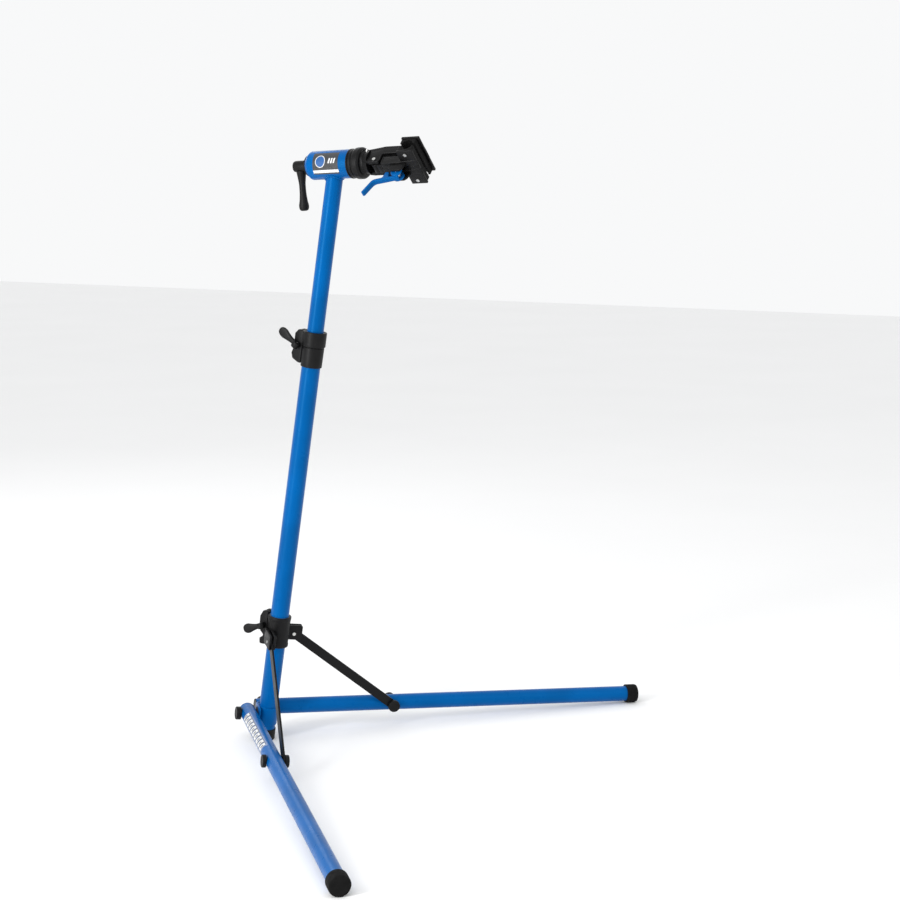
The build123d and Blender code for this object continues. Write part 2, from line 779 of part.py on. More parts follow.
def brace_parts(side, name):
    """Flat brace with round ends, and the nut cap on its lower bolt."""
    middle = ((pivot_x + lower_x) / 2, (pivot_y + lower_y) / 2)
    fold = across_leg(side, 0, 0, brace_inner)
    turn = 1 if fold.y_dir.dot(post.z_dir) > 0 else -1
    with BuildPart() as bar:
        with BuildSketch(fold):
            slant = (0, 0, turn * degrees(brace_angle))
            with Locations(Location((middle[0], turn * middle[1], 0), slant)):
                SlotCenterToCenter(brace_length, brace_width)
            with Locations((pivot_x, turn * pivot_y)):
                Circle(brace_pin_r + running, mode=Mode.SUBTRACT)
            with Locations((lower_x, turn * lower_y)):
                Circle(stud_r, mode=Mode.SUBTRACT)
        extrude(amount=brace_outer - brace_inner)
    save(bar.part, f"{name}_brace")
    with BuildPart() as cap:
        with BuildSketch(across_leg(side, lower_x, lower_y, brace_inner - 9)):
            Circle(brace_cap_r)
        extrude(amount=9)
        fillet(cap.faces().filter_by(GeomType.PLANE).edges(), radius=2)
        with BuildSketch(across_leg(side, lower_x, lower_y, brace_inner)):
            Circle(stud_r)
        extrude(amount=brace_outer - brace_inner)
    save(cap.part, f"{name}_brace_nut")


brace_parts(-1, "near")
brace_parts(1, "far")

slide_bolt_s = 284.0
slide_ears = ear_block(
    [
        (-20, 238), (-40, 236), (-42, 250), (-31, 259), (-42, 268), (-46, 277), (-47, 304),
        (-40, 319), (-30, 321), (-20, 318),
    ]
)
lug_inner, lug_outer = 6.0, 5.0          # thickness of each fork's two plates
lug_reach, lug_half, lug_rise = 64.0, 18.0, 3.0
web_start, web_end = -6.0, 16.0          # block that joins a fork's plates, out from the post
slide_body = turned(
    post,
    [
        (0, collar_bottom), (collar_r - edge_break, collar_bottom),
        (collar_r, collar_bottom + edge_break), (collar_r, collar_top - edge_break),
        (collar_r - edge_break, collar_top), (0, collar_top),
    ],
)
with BuildPart() as slide_collar:
    add(slide_body)
    add(slide_ears)
    for side in (-1, 1):
        fork = across_leg(side, pivot_x, pivot_y, 0)
        up = lug_rise if fork.y_dir.dot(post.z_dir) > 0 else -lug_rise
        for start, thickness in ((brace_inner - gap, -lug_inner), (brace_outer + gap, lug_outer)):
            with BuildSketch(fork.offset(start)):
                with Locations((lug_reach / 2 - pivot_x, up)):
                    RectangleRounded(lug_reach, 2 * lug_half, 4)
            extrude(amount=thickness)
        with BuildSketch(fork.offset(brace_inner - gap)):
            with Locations(((web_start + web_end) / 2 - pivot_x, up)):
                Rectangle(web_end - web_start, 2 * lug_half)
        extrude(amount=brace_outer - brace_inner + 2 * gap)
        with BuildSketch(fork):
            Circle(brace_pin_r)
        extrude(amount=lug_outer + brace_outer + 5, mode=Mode.SUBTRACT)
    with BuildSketch(post.offset(collar_bottom - ear_overhang)):
        Circle(liner_r)
    extrude(amount=collar_top - collar_bottom + 2 * ear_overhang, mode=Mode.SUBTRACT)
    with BuildSketch(ear_view):
        with Locations((-38, (collar_bottom + collar_top) / 2)):
            Rectangle(40, 2 * collar_top)
    extrude(amount=slit / 2, both=True, mode=Mode.SUBTRACT)
    with BuildSketch(bolt_plane(slide_bolt_s, -ear_half)):
        Circle(3.0)
    extrude(amount=2 * ear_half, mode=Mode.SUBTRACT)
save(slide_collar.part, "slide_collar")

save(ring(post, liner_r, lower_r + running, collar_bottom, collar_top), "slide_liner")
clamp_bolt(slide_bolt_s, "slide_clamp_bolt")

with BuildPart() as brace_pins:
    for side in (-1, 1):
        start = brace_inner - gap - lug_inner - 1.5
        with BuildSketch(across_leg(side, pivot_x, pivot_y, start)):
            Circle(brace_pin_r)
        extrude(amount=brace_outer + gap + lug_outer + 1.5 - start)
save(brace_pins.part, "brace_pins")

slide_frame = paddle(slide_bolt_s, radians(-25), 50, 11.5, "collar_lever")
cam_pin(slide_frame, "slide_cam_pin")
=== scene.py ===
"""Looks for a folding bicycle repair stand, laid out as an add-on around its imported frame.

Lengths in the helpers are millimetres; every mesh is written in metres, in the stand's frame.
"""
import json
from math import asin, atan2, cos, hypot, pi, radians, sin

import bpy
import numpy as np
from bpy.props import FloatProperty, FloatVectorProperty, IntProperty, PointerProperty
from bpy.types import Operator, Panel, PropertyGroup
from mathutils import Matrix


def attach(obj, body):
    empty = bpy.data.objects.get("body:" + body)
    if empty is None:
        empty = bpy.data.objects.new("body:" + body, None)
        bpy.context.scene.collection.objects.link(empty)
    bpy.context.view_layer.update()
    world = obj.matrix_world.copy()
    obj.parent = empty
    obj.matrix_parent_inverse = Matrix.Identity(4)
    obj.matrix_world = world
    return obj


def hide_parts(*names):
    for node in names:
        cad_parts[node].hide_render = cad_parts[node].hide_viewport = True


bl_info = {
    "name": "Folding repair stand",
    "version": (1, 0, 0),
    "blender": (4, 5, 0),
    "location": "3D View > Sidebar > Repair Stand",
    "description": "Builds the moulded, cast and painted pieces of a folding bicycle repair stand",
    "category": "Object",
}

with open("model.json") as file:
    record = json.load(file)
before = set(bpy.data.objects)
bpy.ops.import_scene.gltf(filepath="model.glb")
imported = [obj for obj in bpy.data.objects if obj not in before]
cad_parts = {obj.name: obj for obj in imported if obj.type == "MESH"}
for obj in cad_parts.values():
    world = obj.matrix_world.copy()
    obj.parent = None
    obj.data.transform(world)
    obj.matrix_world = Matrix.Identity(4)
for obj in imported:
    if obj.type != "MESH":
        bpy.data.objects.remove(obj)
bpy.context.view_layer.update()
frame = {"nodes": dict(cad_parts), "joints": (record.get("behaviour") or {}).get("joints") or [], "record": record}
MM = 0.001
JOINTS = {joint["name"]: joint for joint in frame["joints"]}


# ---------------------------------------------------------------- places taken from the frame
class Spot:
    """A right-handed set of axes: an origin in millimetres and three unit directions."""

    def __init__(self, origin, x_dir, z_dir):
        self.origin = np.array(origin, float)
        self.z = unit(z_dir)
        self.x = unit(np.array(x_dir, float) - self.z * np.dot(x_dir, self.z))
        self.y = np.cross(self.z, self.x)

    def at(self, points):
        """Local points, shape (..., 3), as points of the stand's frame."""
        points = np.asarray(points, float)
        axes = np.stack([self.x, self.y, self.z])
        return self.origin + points @ axes


def unit(vector):
    vector = np.array(vector, float)
    return vector / np.linalg.norm(vector)


def joint_axis(name):
    return unit(JOINTS[name]["axis"])


def joint_place(name):
    return np.array(JOINTS[name]["pos_m"]) / MM


UP_POST = joint_axis("mast_height")
ACROSS = np.array([0.0, 1.0, 0.0])
POST = Spot((0, 0, 0), np.cross(ACROSS, UP_POST), UP_POST)
HEAD = Spot(joint_place("clamp_turn"), ACROSS, joint_axis("clamp_turn"))
JAWS = Spot(HEAD.origin, HEAD.z, joint_axis("cam_lever_swing"))


def in_jaws(name):
    """A joint's place in the jaws' side view."""
    offset = joint_place(name) - JAWS.origin
    return float(offset @ JAWS.x), float(offset @ JAWS.y)


ROD_T, CAM_Y = in_jaws("cam_lever_swing")
HINGE_T, HINGE_Y = in_jaws("jaw_swing")
TUBE_T = float((np.array(frame["record"]["mounts"][0]["pos_m"]) / MM - HEAD.origin) @ HEAD.z)
TUBE_R = frame["record"]["mounts"][0]["dims"]["r_mm"]
HINGE_S = float(joint_place("near_leg_fold") @ UP_POST)


def away(side):
    """Direction square to a leg's fold plane, pointing from the post to the leg."""
    axis = joint_axis("near_leg_fold" if side < 0 else "far_leg_fold")
    return axis * side * np.sign(axis[1])


def ahead(side):
    """Direction in a leg's fold plane, square to the post and towards the foot."""
    return np.cross(away(side), UP_POST) * side


def leg_direction(side):
    """From a leg's hinge to its foot, whose end stands on the floor by its worn flat."""
    fall, climb = ahead(side)[2], UP_POST[2]
    hinge_height = (UP_POST * HINGE_S + away(side) * LEG_OFFSET)[2]
    drop = (FOOT_R - FOOT_FLAT - hinge_height) / (LEG_LENGTH * hypot(fall, climb))
    slope = atan2(-fall, climb) + asin(drop)
    return ahead(side) * cos(slope) + UP_POST * sin(slope)


def leg_spot(side, distance=0.0):
    """Axes on a leg: z runs from its hinge to its foot and x points away from the post."""
    direction = leg_direction(side)
    origin = UP_POST * HINGE_S + away(side) * LEG_OFFSET + direction * distance
    return Spot(origin, away(side), direction)


def beside(side, out, up, lateral):
    """Axes square to a fold plane, at a place out and up from the hinge, z pointing away."""
    origin = UP_POST * (HINGE_S + up) + ahead(side) * out + away(side) * lateral
    return Spot(origin, ahead(side), away(side))


def on_leg(side, distance, lateral):
    """Axes square to a fold plane where the leg's centre line is that far from its hinge."""
    origin = UP_POST * HINGE_S + leg_direction(side) * distance + away(side) * lateral
    return Spot(origin, ahead(side), away(side))


# ---------------------------------------------------------------- sizes shared with the frame
LOWER_R, UPPER_R, LEG_R = 21.75, 19.05, 19.05
FOOT_R, FOOT_LENGTH, FOOT_FLAT = 23.0, 30.0, 0.6
LEG_LENGTH, LEG_REAR, LEG_OFFSET = 972.5, 21.0, 46.0
BRACE_HOLE, BRACE_INNER, BRACE_OUTER = 319.0, 21.9, 26.3
CAP_GAP = 0.35              # between a leg or brace and the cap or shank beside it
BRACKET_R = 24.35           # outside of the saddle round the post
BOLT_R = 4.95               # shank of the brace bolts
SPINDLE_BORE = 12.55        # bore of the flange on its spindle
BEAM_INNER, BEAM_OUTER = 5.5, 27.0
JAW_FRONT, ARM_FRONT = 222.0, 226.0
CAM_INNER, CAM_OUTER = 5.2, 10.0
SLEEVE_R, SLEEVE_REAR, SLEEVE_FRONT = 32.0, -69.0, 43.0
FLANGE_REAR, FLANGE_FRONT, BEAM_ROOT = 46.3, 76.0, 82.0
BEAM_HALF, PAD_HALF = 21.0, 48.0
PAD_EDGE, PAD_BACK, JAW_BACK = 3.2, 17.0, 22.5
EAR_HALF, SLIT = 13.0, 3.0
FIT = 0.05                  # between a moulded part and the tube inside it
POLE = 0.02                 # radius that closes a turned shape on its axis
FILM = (0.03, 0.3)          # back and face of a printed film, above its tube


# ---------------------------------------------------------------- surfaces
def rounded(points, radius, steps=7):
    """Closed outline whose corners are arcs tangent to both sides.

    Each arc's centre lies on the corner's bisector, at radius over the sine of half the
    corner, and its points turn evenly from one tangent point to the other.  Where a side is
    too short, the radius is cut so that an arc takes at most 0.48 of it.
    """
    corner = np.array(points, float)
    radius = np.broadcast_to(np.asarray(radius, float), len(corner)).copy()
    back = np.roll(corner, 1, 0) - corner
    ahead = np.roll(corner, -1, 0) - corner
    back_length = np.linalg.norm(back, axis=1)
    ahead_length = np.linalg.norm(ahead, axis=1)
    back /= back_length[:, None]
    ahead /= ahead_length[:, None]
    half = np.arccos(np.clip((back * ahead).sum(1), -1, 1)) / 2
    tangent = np.minimum(radius / np.tan(half), 0.48 * np.minimum(back_length, ahead_length))
    radius = tangent * np.tan(half)
    bisector = back + ahead
    bisector /= np.maximum(np.linalg.norm(bisector, axis=1), 1e-9)[:, None]
    centre = corner + bisector * (radius / np.sin(half))[:, None]
    first = corner + back * tangent[:, None] - centre
    last = corner + ahead * tangent[:, None] - centre
    turn = np.arctan2(first[:, 0] * last[:, 1] - first[:, 1] * last[:, 0], (first * last).sum(1))
    part = np.linspace(0, 1, steps)[None, :] * turn[:, None]
    spun_x = first[:, 0, None] * np.cos(part) - first[:, 1, None] * np.sin(part)
    spun_y = first[:, 0, None] * np.sin(part) + first[:, 1, None] * np.cos(part)
    return (centre[:, None, :] + np.stack([spun_x, spun_y], -1)).reshape(-1, 2)


def area(outline):
    """Signed area: half the sum of the cross products of neighbouring corners."""
    x, y = outline[:, 0], outline[:, 1]
    return 0.5 * float((x * np.roll(y, -1) - np.roll(x, -1) * y).sum())


def inset(outline, distance):
    """Outline moved inwards, each corner along its bisector by the distance over its cosine."""
    side = np.roll(outline, -1, 0) - outline
    side /= np.maximum(np.linalg.norm(side, axis=1), 1e-9)[:, None]
    mean = side + np.roll(side, 1, 0)
    mean /= np.maximum(np.linalg.norm(mean, axis=1), 1e-9)[:, None]
    mitre = np.maximum((mean * side).sum(1), 0.5)
    inward = np.stack([-mean[:, 1], mean[:, 0]], -1) * np.sign(area(outline))
    return outline + inward * (distance / mitre)[:, None]


def shell(rings, closed=False):
    """Vertices and faces of rings (rows, around, 3) joined by quads; open ends get flat caps."""
    rings = np.asarray(rings, float)
    rows, around = rings.shape[:2]
    index = np.arange(rows * around).reshape(rows, around)
    low = index if closed else index[:-1]
    high = np.roll(index, -1, 0) if closed else index[1:]
    faces = np.stack([low, np.roll(low, -1, 1), np.roll(high, -1, 1), high], -1).reshape(-1, 4)
    faces = faces.tolist()
    if not closed:
        faces.append(index[0, ::-1].tolist())
        faces.append(index[-1].tolist())
    return rings.reshape(-1, 3), faces


def volume(points, faces):
    """Signed volume: the sum, over a fan of triangles in each face, of their triple products."""
    total = 0.0
    by_count = {}
    for face in faces:
        by_count.setdefault(len(face), []).append(face)
    for count, group in by_count.items():
        corners = points[np.array(group)]
        for step in range(1, count - 1):
            cross = np.cross(corners[:, step], corners[:, step + 1])
            total += float((corners[:, 0] * cross).sum()) / 6
    return total


def prism(spot, outline, start, end, bevel=1.0, steps=4):
    """Solid with a flat outline, carried along z, its two end edges rounded to a quarter circle."""
    bevel = min(bevel, 0.49 * abs(end - start))
    angle = np.linspace(0, pi / 2, steps)
    pull = bevel * (1 - np.sin(angle))
    rise = bevel * (1 - np.cos(angle))
    layers = [(start + r, p) for r, p in zip(rise, pull)]
    layers += [(end - r, p) for r, p in zip(rise[::-1], pull[::-1])]
    rings = [
        np.column_stack([inset(outline, p), np.full(len(outline), z)]) for z, p in layers
    ]
    return shell(spot.at(np.array(rings)))


def turned_rings(profile, around):
    """Angles of a full turn, and a profile's radius and height repeated at each of them."""
    profile = np.array(profile, float)
    angle = np.linspace(0, 2 * pi, around, endpoint=False)
    radius = np.repeat(profile[:, :1], around, 1)
    height = np.repeat(profile[:, 1:], around, 1)
    return angle[None, :], radius, height


def lathe(spot, profile, around=72):
    """Profile of (radius, height) turned about z, its ends capped flat."""
    angle, radius, height = turned_rings(profile, around)
    return shell(spot.at(np.stack([radius * np.cos(angle), radius * np.sin(angle), height], -1)))


def turned_ring(spot, outline, around=96, lobes=None):
    """Closed (radius, height) outline turned about z, leaving a bore.

    lobes(angle, radius) gives a factor for the radius.
    """
    angle, radius, height = turned_rings(outline, around)
    if lobes is not None:
        radius = radius * lobes(angle, radius)
    rings = np.stack([radius * np.cos(angle), radius * np.sin(angle), height], -1)
    return shell(spot.at(rings), closed=True)


def split_ring(spot, outline, slit, middle, around=96):
    """Closed (radius, height) outline turned about z, open at one slit round the middle angle."""
    outline = np.array(outline, float)
    half = asin(slit / 2 / outline[:, 0].max())
    angle = middle + np.linspace(half, 2 * pi - half, around)[:, None]
    radius, height = outline[None, :, 0], outline[None, :, 1]
    rings = np.stack([radius * np.cos(angle), radius * np.sin(angle), height + 0 * angle], -1)
    return shell(spot.at(rings))


def rim(spot, corners, width, start, end, radius, bevel=0.8):
    """Raised border: a rounded outline and its inner copy, joined round all four sides."""
    corners = np.array(corners, float)
    outer = rounded(corners, radius)
    inner = rounded(inset(corners, width), np.maximum(np.asarray(radius) - width * 0.4, 1.0))
    layers = [(outer, 0.0, start), (outer, 0.0, end - bevel), (outer, bevel, end),
              (inner, -bevel, end), (inner, 0.0, end - bevel), (inner, 0.0, start)]
    rings = [
        np.column_stack([inset(line, pull), np.full(len(line), z)]) for line, pull, z in layers
    ]
    return shell(spot.at(np.array(rings)), closed=True)


def smooth_path(points, count):
    """Evenly stepped Catmull-Rom curve through the points, worked out for all steps at once.

    Between b and c, with a before and d after, it is the cubic in t that passes through both
    and whose slopes there are half of c less a and half of d less b.
    """
    knots = np.array(points, float)
    padded = np.vstack([2 * knots[0] - knots[1], knots, 2 * knots[-1] - knots[-2]])
    place = np.linspace(0, len(knots) - 1, count)
    cell = np.minimum(place.astype(int), len(knots) - 2)
    t = (place - cell)[:, None]
    a, b, c, d = (padded[cell + shift] for shift in range(4))
    square, cube = 2 * a - 5 * b + 4 * c - d, 3 * b - a - 3 * c + d
    return 0.5 * (2 * b + (c - a) * t + square * t**2 + cube * t**3)


def swept(path, half_width, half_depth, side, around=28, power=2.4, closed=False):
    """Rounded section carried along a path.

    The section is a superellipse: |x / half_width| and |y / half_depth| to one power add up
    to 1.  Its width lies along side, kept square to the path.
    """
    path = np.asarray(path, float)
    rows = len(path)
    tangent = np.gradient(path, axis=0)
    if closed:
        tangent = np.roll(path, -1, 0) - np.roll(path, 1, 0)
    tangent /= np.linalg.norm(tangent, axis=1)[:, None]
    side = np.broadcast_to(np.asarray(side, float), (rows, 3))
    side = side - tangent * (side * tangent).sum(1)[:, None]
    side = side / np.linalg.norm(side, axis=1)[:, None]
    depth = np.cross(tangent, side)
    angle = np.linspace(0, 2 * pi, around, endpoint=False)
    across = np.sign(np.cos(angle)) * np.abs(np.cos(angle)) ** (2 / power)
    down = np.sign(np.sin(angle)) * np.abs(np.sin(angle)) ** (2 / power)
    half_width = np.broadcast_to(np.asarray(half_width, float), rows)[:, None, None]
    half_depth = np.broadcast_to(np.asarray(half_depth, float), rows)[:, None, None]
    rings = (
        path[:, None, :]
        + side[:, None, :] * across[None, :, None] * half_width
        + depth[:, None, :] * down[None, :, None] * half_depth
    )
    return shell(rings, closed)


def fillet_profile(points, radius, steps=6):
    """Open profile with arcs at its inner points; the end points stay."""
    points = np.array(points, float)
    radius = np.broadcast_to(np.asarray(radius, float), len(points)).copy()
    radius[0] = radius[-1] = 1e-4
    arcs = rounded(points, radius, steps).reshape(len(points), steps, 2)
    middle = arcs[1:-1].reshape(-1, 2)
    return np.vstack([points[:1], middle, points[-1:]])


def piece(name, shells, body, material, replaced=(), sharp=40):
    """One mesh object from closed shells, outwards facing, that rides on a body."""
    points, faces, start = [], [], 0
    for vertices, polygons in shells:
        if volume(vertices, polygons) < 0:
            polygons = [polygon[::-1] for polygon in polygons]
        points.append(vertices)
        faces += [[corner + start for corner in polygon] for polygon in polygons]
        start += len(vertices)
    mesh = bpy.data.meshes.new(name)
    mesh.from_pydata((np.vstack(points) * MM).tolist(), [], faces)
    mesh.validate()
    mesh.shade_smooth()
    mesh.set_sharp_from_angle(angle=radians(sharp))
    made = bpy.data.objects.new(name, mesh)
    bpy.context.scene.collection.objects.link(made)
    mesh.materials.append(material)
    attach(made, body)
    if replaced:
        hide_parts(*replaced)
    return made


def finish_node(name, material):
    """Gives a carried-over node its material."""
    node = frame["nodes"][name]
    node.data.materials.clear()
    node.data.materials.append(material)


# ---------------------------------------------------------------- materials
class Shader:
    """Small helper around one material's node tree."""

    def __init__(self, name):
        self.material = bpy.data.materials.new(name)
        self.material.use_nodes = True
        self.tree = self.material.node_tree
        self.surface = self.tree.nodes["Principled BSDF"]
        self.place = self.add("ShaderNodeTexCoord").outputs["Object"]

    def add(self, kind, **values):
        node = self.tree.nodes.new(kind)
        for key, value in values.items():
            setattr(node, key, value)
        return node

    def link(self, start, end):
        self.tree.links.new(start, end)

    def fixed(self, **values):
        for key, value in values.items():
            self.surface.inputs[key.replace("_", " ")].default_value = value

    def scaled(self, scale):
        node = self.add("ShaderNodeMapping")
        node.inputs["Scale"].default_value = scale
        self.link(self.place, node.inputs["Vector"])
        return node.outputs["Vector"]

    def noise(self, scale, detail=3.0, roughness=0.5, vector=None):
        node = self.add("ShaderNodeTexNoise")
        node.inputs["Scale"].default_value = scale
        node.inputs["Detail"].default_value = detail
        node.inputs["Roughness"].default_value = roughness
        self.link(vector or self.place, node.inputs["Vector"])
        return node.outputs["Fac"]

    def spread(self, value, low, high, to_low=0.0, to_high=1.0):
        node = self.add("ShaderNodeMapRange")
        sockets = ("From Min", "From Max", "To Min", "To Max")
        for socket, number in zip(sockets, (low, high, to_low, to_high)):
            node.inputs[socket].default_value = number
        self.link(value, node.inputs["Value"])
        return node.outputs["Result"]

    def mix(self, factor, first, second):
        node = self.add("ShaderNodeMix", data_type="RGBA")
        self.link(factor, node.inputs["Factor"])
        for socket, value in ((node.inputs[6], first), (node.inputs[7], second)):
            if isinstance(value, bpy.types.NodeSocket):
                self.link(value, socket)
            else:
                socket.default_value = value
        return node.outputs[2]

    def math(self, operation, first, second):
        node = self.add("ShaderNodeMath", operation=operation)
        for socket, value in zip(node.inputs, (first, second)):
            if isinstance(value, bpy.types.NodeSocket):
                self.link(value, socket)
            else:
                socket.default_value = value
        return node.outputs[0]

    def bump(self, height, strength, distance):
        node = self.add("ShaderNodeBump")
        node.inputs["Strength"].default_value = strength
        node.inputs["Distance"].default_value = distance
        self.link(height, node.inputs["Height"])
        self.link(node.outputs["Normal"], self.surface.inputs["Normal"])

    def colour(self, socket):
        self.link(socket, self.surface.inputs["Base Color"])

    def rough(self, socket):
        self.link(socket, self.surface.inputs["Roughness"])


def rgba(colour, factor=1.0):
    return (colour[0] * factor, colour[1] * factor, colour[2] * factor, 1.0)


def powder_coat(name, colour, gloss, specular, peel, tint=(1, 1, 1, 1)):
    """Baked powder coat: an orange-peel ripple, a slow drift of shade, and faint rubbed marks."""
    shader = Shader(name)
    drift = shader.spread(shader.noise(9.0, 2.0), 0.35, 0.65)
    body = shader.mix(drift, rgba(colour, 0.90), rgba(colour, 1.08))
    rub = shader.noise(22.0, 6.0, 0.72, shader.scaled((1.0, 1.0, 0.22)))
    marks = shader.spread(rub, 0.66, 0.74)
    worn = shader.mix(shader.math("MULTIPLY", marks, 0.10), body, rgba(colour, 1.5))
    shader.colour(worn)
    haze = shader.spread(shader.noise(40.0, 4.0, 0.6), 0.3, 0.7, gloss - 0.05, gloss + 0.07)
    shader.rough(shader.math("ADD", haze, shader.math("MULTIPLY", marks, 0.12)))
    shader.bump(shader.noise(620.0, 1.5, 0.45), peel, 0.00012)
    shader.fixed(Specular_IOR_Level=specular, Specular_Tint=tint)
    return shader.material


def moulded(name, colour, gloss, grain):
    """Glass-filled nylon: spark-eroded grain, slightly greyer on its rubbed high spots."""
    shader = Shader(name)
    cloud = shader.spread(shader.noise(30.0, 4.0, 0.6), 0.3, 0.7)
    base = shader.mix(cloud, rgba(colour, 0.75), rgba(colour, 1.5))
    scuff = shader.spread(shader.noise(75.0, 7.0, 0.75), 0.66, 0.78)
    shader.colour(shader.mix(shader.math("MULTIPLY", scuff, 0.2), base, rgba((0.03, 0.03, 0.03))))
    shader.rough(shader.spread(shader.noise(55.0, 5.0, 0.65), 0.3, 0.7, gloss - 0.06, gloss + 0.08))
    voronoi = shader.add("ShaderNodeTexVoronoi")
    voronoi.inputs["Scale"].default_value = 1700.0
    shader.link(shader.place, voronoi.inputs["Vector"])
    pits = shader.math("ADD", voronoi.outputs["Distance"], shader.noise(900.0, 3.0))
    shader.bump(pits, grain, 0.0001)
    shader.fixed(Specular_IOR_Level=0.16)
    return shader.material


def plated(name, colour):
    """Zinc plate on turned steel: fine crossing scratches and a soft cloud of tarnish."""
    shader = Shader(name)
    cloud = shader.spread(shader.noise(60.0, 4.0, 0.6), 0.35, 0.7)
    shader.colour(shader.mix(cloud, rgba(colour, 1.0), rgba(colour, 0.72)))
    lines = shader.noise(90.0, 4.0, 0.6, shader.scaled((14.0, 1.0, 14.0)))
    shader.rough(shader.spread(lines, 0.3, 0.7, 0.22, 0.42))
    shader.bump(lines, 0.12, 0.00005)
    shader.fixed(Metallic=1.0)
    return shader.material


def rubbery(name, colour):
    """Moulded rubber: matte, finely pitted, with a dusty bloom."""
    shader = Shader(name)
    bloom = shader.spread(shader.noise(24.0, 5.0, 0.65), 0.45, 0.75)
    dusty = (0.016, 0.0155, 0.015, 1.0)
    shader.colour(shader.mix(shader.math("MULTIPLY", bloom, 0.45), rgba(colour), dusty))
    shader.rough(shader.spread(shader.noise(120.0, 3.0), 0.3, 0.7, 0.58, 0.8))
    shader.bump(shader.noise(1300.0, 3.0, 0.6), 0.35, 0.00012)
    shader.fixed(Specular_IOR_Level=0.12)
    return shader.material


def printed_film(name, paint):
    """Vinyl film with a print laid out on the piece's own UV map by paint(shader, u, v)."""
    shader = Shader(name)
    split = shader.add("ShaderNodeSeparateXYZ")
    uv = shader.add("ShaderNodeUVMap", uv_map="print")
    shader.link(uv.outputs["UV"], split.inputs[0])
    colour = paint(shader, split.outputs["X"], split.outputs["Y"])
    aged = shader.spread(shader.noise(140.0, 5.0, 0.7), 0.3, 0.75, 1.0, 0.86)
    tinted = shader.add("ShaderNodeMix", data_type="RGBA", blend_type="MULTIPLY")
    tinted.inputs["Factor"].default_value = 1.0
    shader.link(colour, tinted.inputs[6])
    shader.link(aged, tinted.inputs[7])
    shader.colour(tinted.outputs[2])
    shader.rough(shader.spread(shader.noise(70.0, 4.0), 0.3, 0.7, 0.24, 0.4))
    shader.bump(shader.noise(260.0, 2.0), 0.08, 0.00005)
    shader.fixed(Coat_Weight=0.5, Coat_Roughness=0.15)
    return shader.material


def band(shader, value, low, high):
    """1 where a value lies between two limits, with a thin soft edge."""
    soft = 0.006
    rise = shader.spread(value, low - soft, low + soft)
    fall = shader.spread(value, high - soft, high + soft, 1.0, 0.0)
    return shader.math("MULTIPLY", rise, fall)


# ---------------------------------------------------------------- settings
class StandFinish(PropertyGroup):
    blue: FloatVectorProperty(
        name="Frame paint", description="Powder coat on the tubes, bracket, sleeve and cam lever",
        subtype="COLOR", default=(0.0, 0.082, 0.29), min=0, max=1,
    )
    black: FloatVectorProperty(
        name="Cast paint", description="Satin coat on the jaws, flange and braces",
        subtype="COLOR", default=(0.004, 0.004, 0.0043), min=0, max=1,
    )
    plastic: FloatVectorProperty(
        name="Moulded plastic", description="Collars, levers, caps and knob",
        subtype="COLOR", default=(0.0045, 0.0045, 0.0048), min=0, max=1,
    )
    rubber: FloatVectorProperty(
        name="Rubber", description="Pads and feet", subtype="COLOR",
        default=(0.004, 0.004, 0.004), min=0, max=1,
    )
    steel: FloatVectorProperty(
        name="Plated steel", description="Bolts, pins, rod and spindle", subtype="COLOR",
        default=(0.62, 0.62, 0.60), min=0, max=1,
    )
    paint_gloss: FloatProperty(
        name="Paint roughness", description="Roughness of the frame paint", default=0.3,
        min=0.05, max=0.9, subtype="FACTOR",
    )


class StandSizes(PropertyGroup):
    edge: FloatProperty(
        name="Edge rounding", description="Radius on moulded and cast edges, in millimetres",
        default=1.4, min=0.2, max=3.0,
    )
    foot_grooves: IntProperty(
        name="Foot grooves", description="Rings cut round each rubber foot",
        default=4, min=0, max=8,
    )
    knob_lobes: IntProperty(
        name="Knob lobes", description="Finger lobes round the adjusting knob",
        default=8, min=3, max=12,
    )
    spring_turns: IntProperty(
        name="Spring turns", description="Coils of the spring between the jaws",
        default=4, min=2, max=8,
    )
    weld_width: FloatProperty(
        name="Weld width", description="Radius of the weld bead under the sleeve, in millimetres",
        default=2.6, min=1.0, max=5.0,
    )


class StageSettings(PropertyGroup):
    floor_colour: FloatVectorProperty(
        name="Floor", description="Colour of the plain floor", subtype="COLOR",
        default=(0.90, 0.90, 0.90), min=0, max=1,
    )
    camera_place: FloatVectorProperty(
        name="Camera place", description="Where the camera stands",
        subtype="TRANSLATION", unit="LENGTH",
        default=(2.3388, -3.3748, 1.3357), precision=4,
    )
    camera_azimuth: FloatProperty(
        name="Azimuth", description="Turn of the view from +Y towards -X", subtype="ANGLE",
        default=radians(28.49),
    )
    camera_pitch: FloatProperty(
        name="Pitch", description="How far the camera looks down", subtype="ANGLE",
        default=radians(8.78),
    )
    camera_roll: FloatProperty(
        name="Roll", description="Turn of the camera about its view", subtype="ANGLE",
        default=radians(0.15),
    )
    camera_lens: FloatProperty(
        name="Lens", description="Focal length on a 36 mm sensor", default=70.3, min=10, max=300,
        subtype="DISTANCE_CAMERA",
    )
    key_power: FloatProperty(
        name="Key light", description="Power of the large soft light, which the others follow",
        default=34.0, min=0, unit="POWER",
    )


def finishes():
    """The stand's materials, made once and found again by name."""
    if "frame_paint" not in bpy.data.materials:
        look = bpy.context.scene.stand_finish
        blue_sheen = (0.12, 0.62, 1, 1)
        powder_coat("frame_paint", tuple(look.blue), look.paint_gloss, 0.24, 0.22, blue_sheen)
        powder_coat("cast_paint", tuple(look.black), 0.38, 0.16, 0.45)
        moulded("moulded_nylon", tuple(look.plastic), 0.42, 0.35)
        moulded("bearing_nylon", (0.055, 0.055, 0.058), 0.38, 0.15)
        plated("zinc_plate", tuple(look.steel))
        rubbery("moulded_rubber", tuple(look.rubber))
    return bpy.data.materials


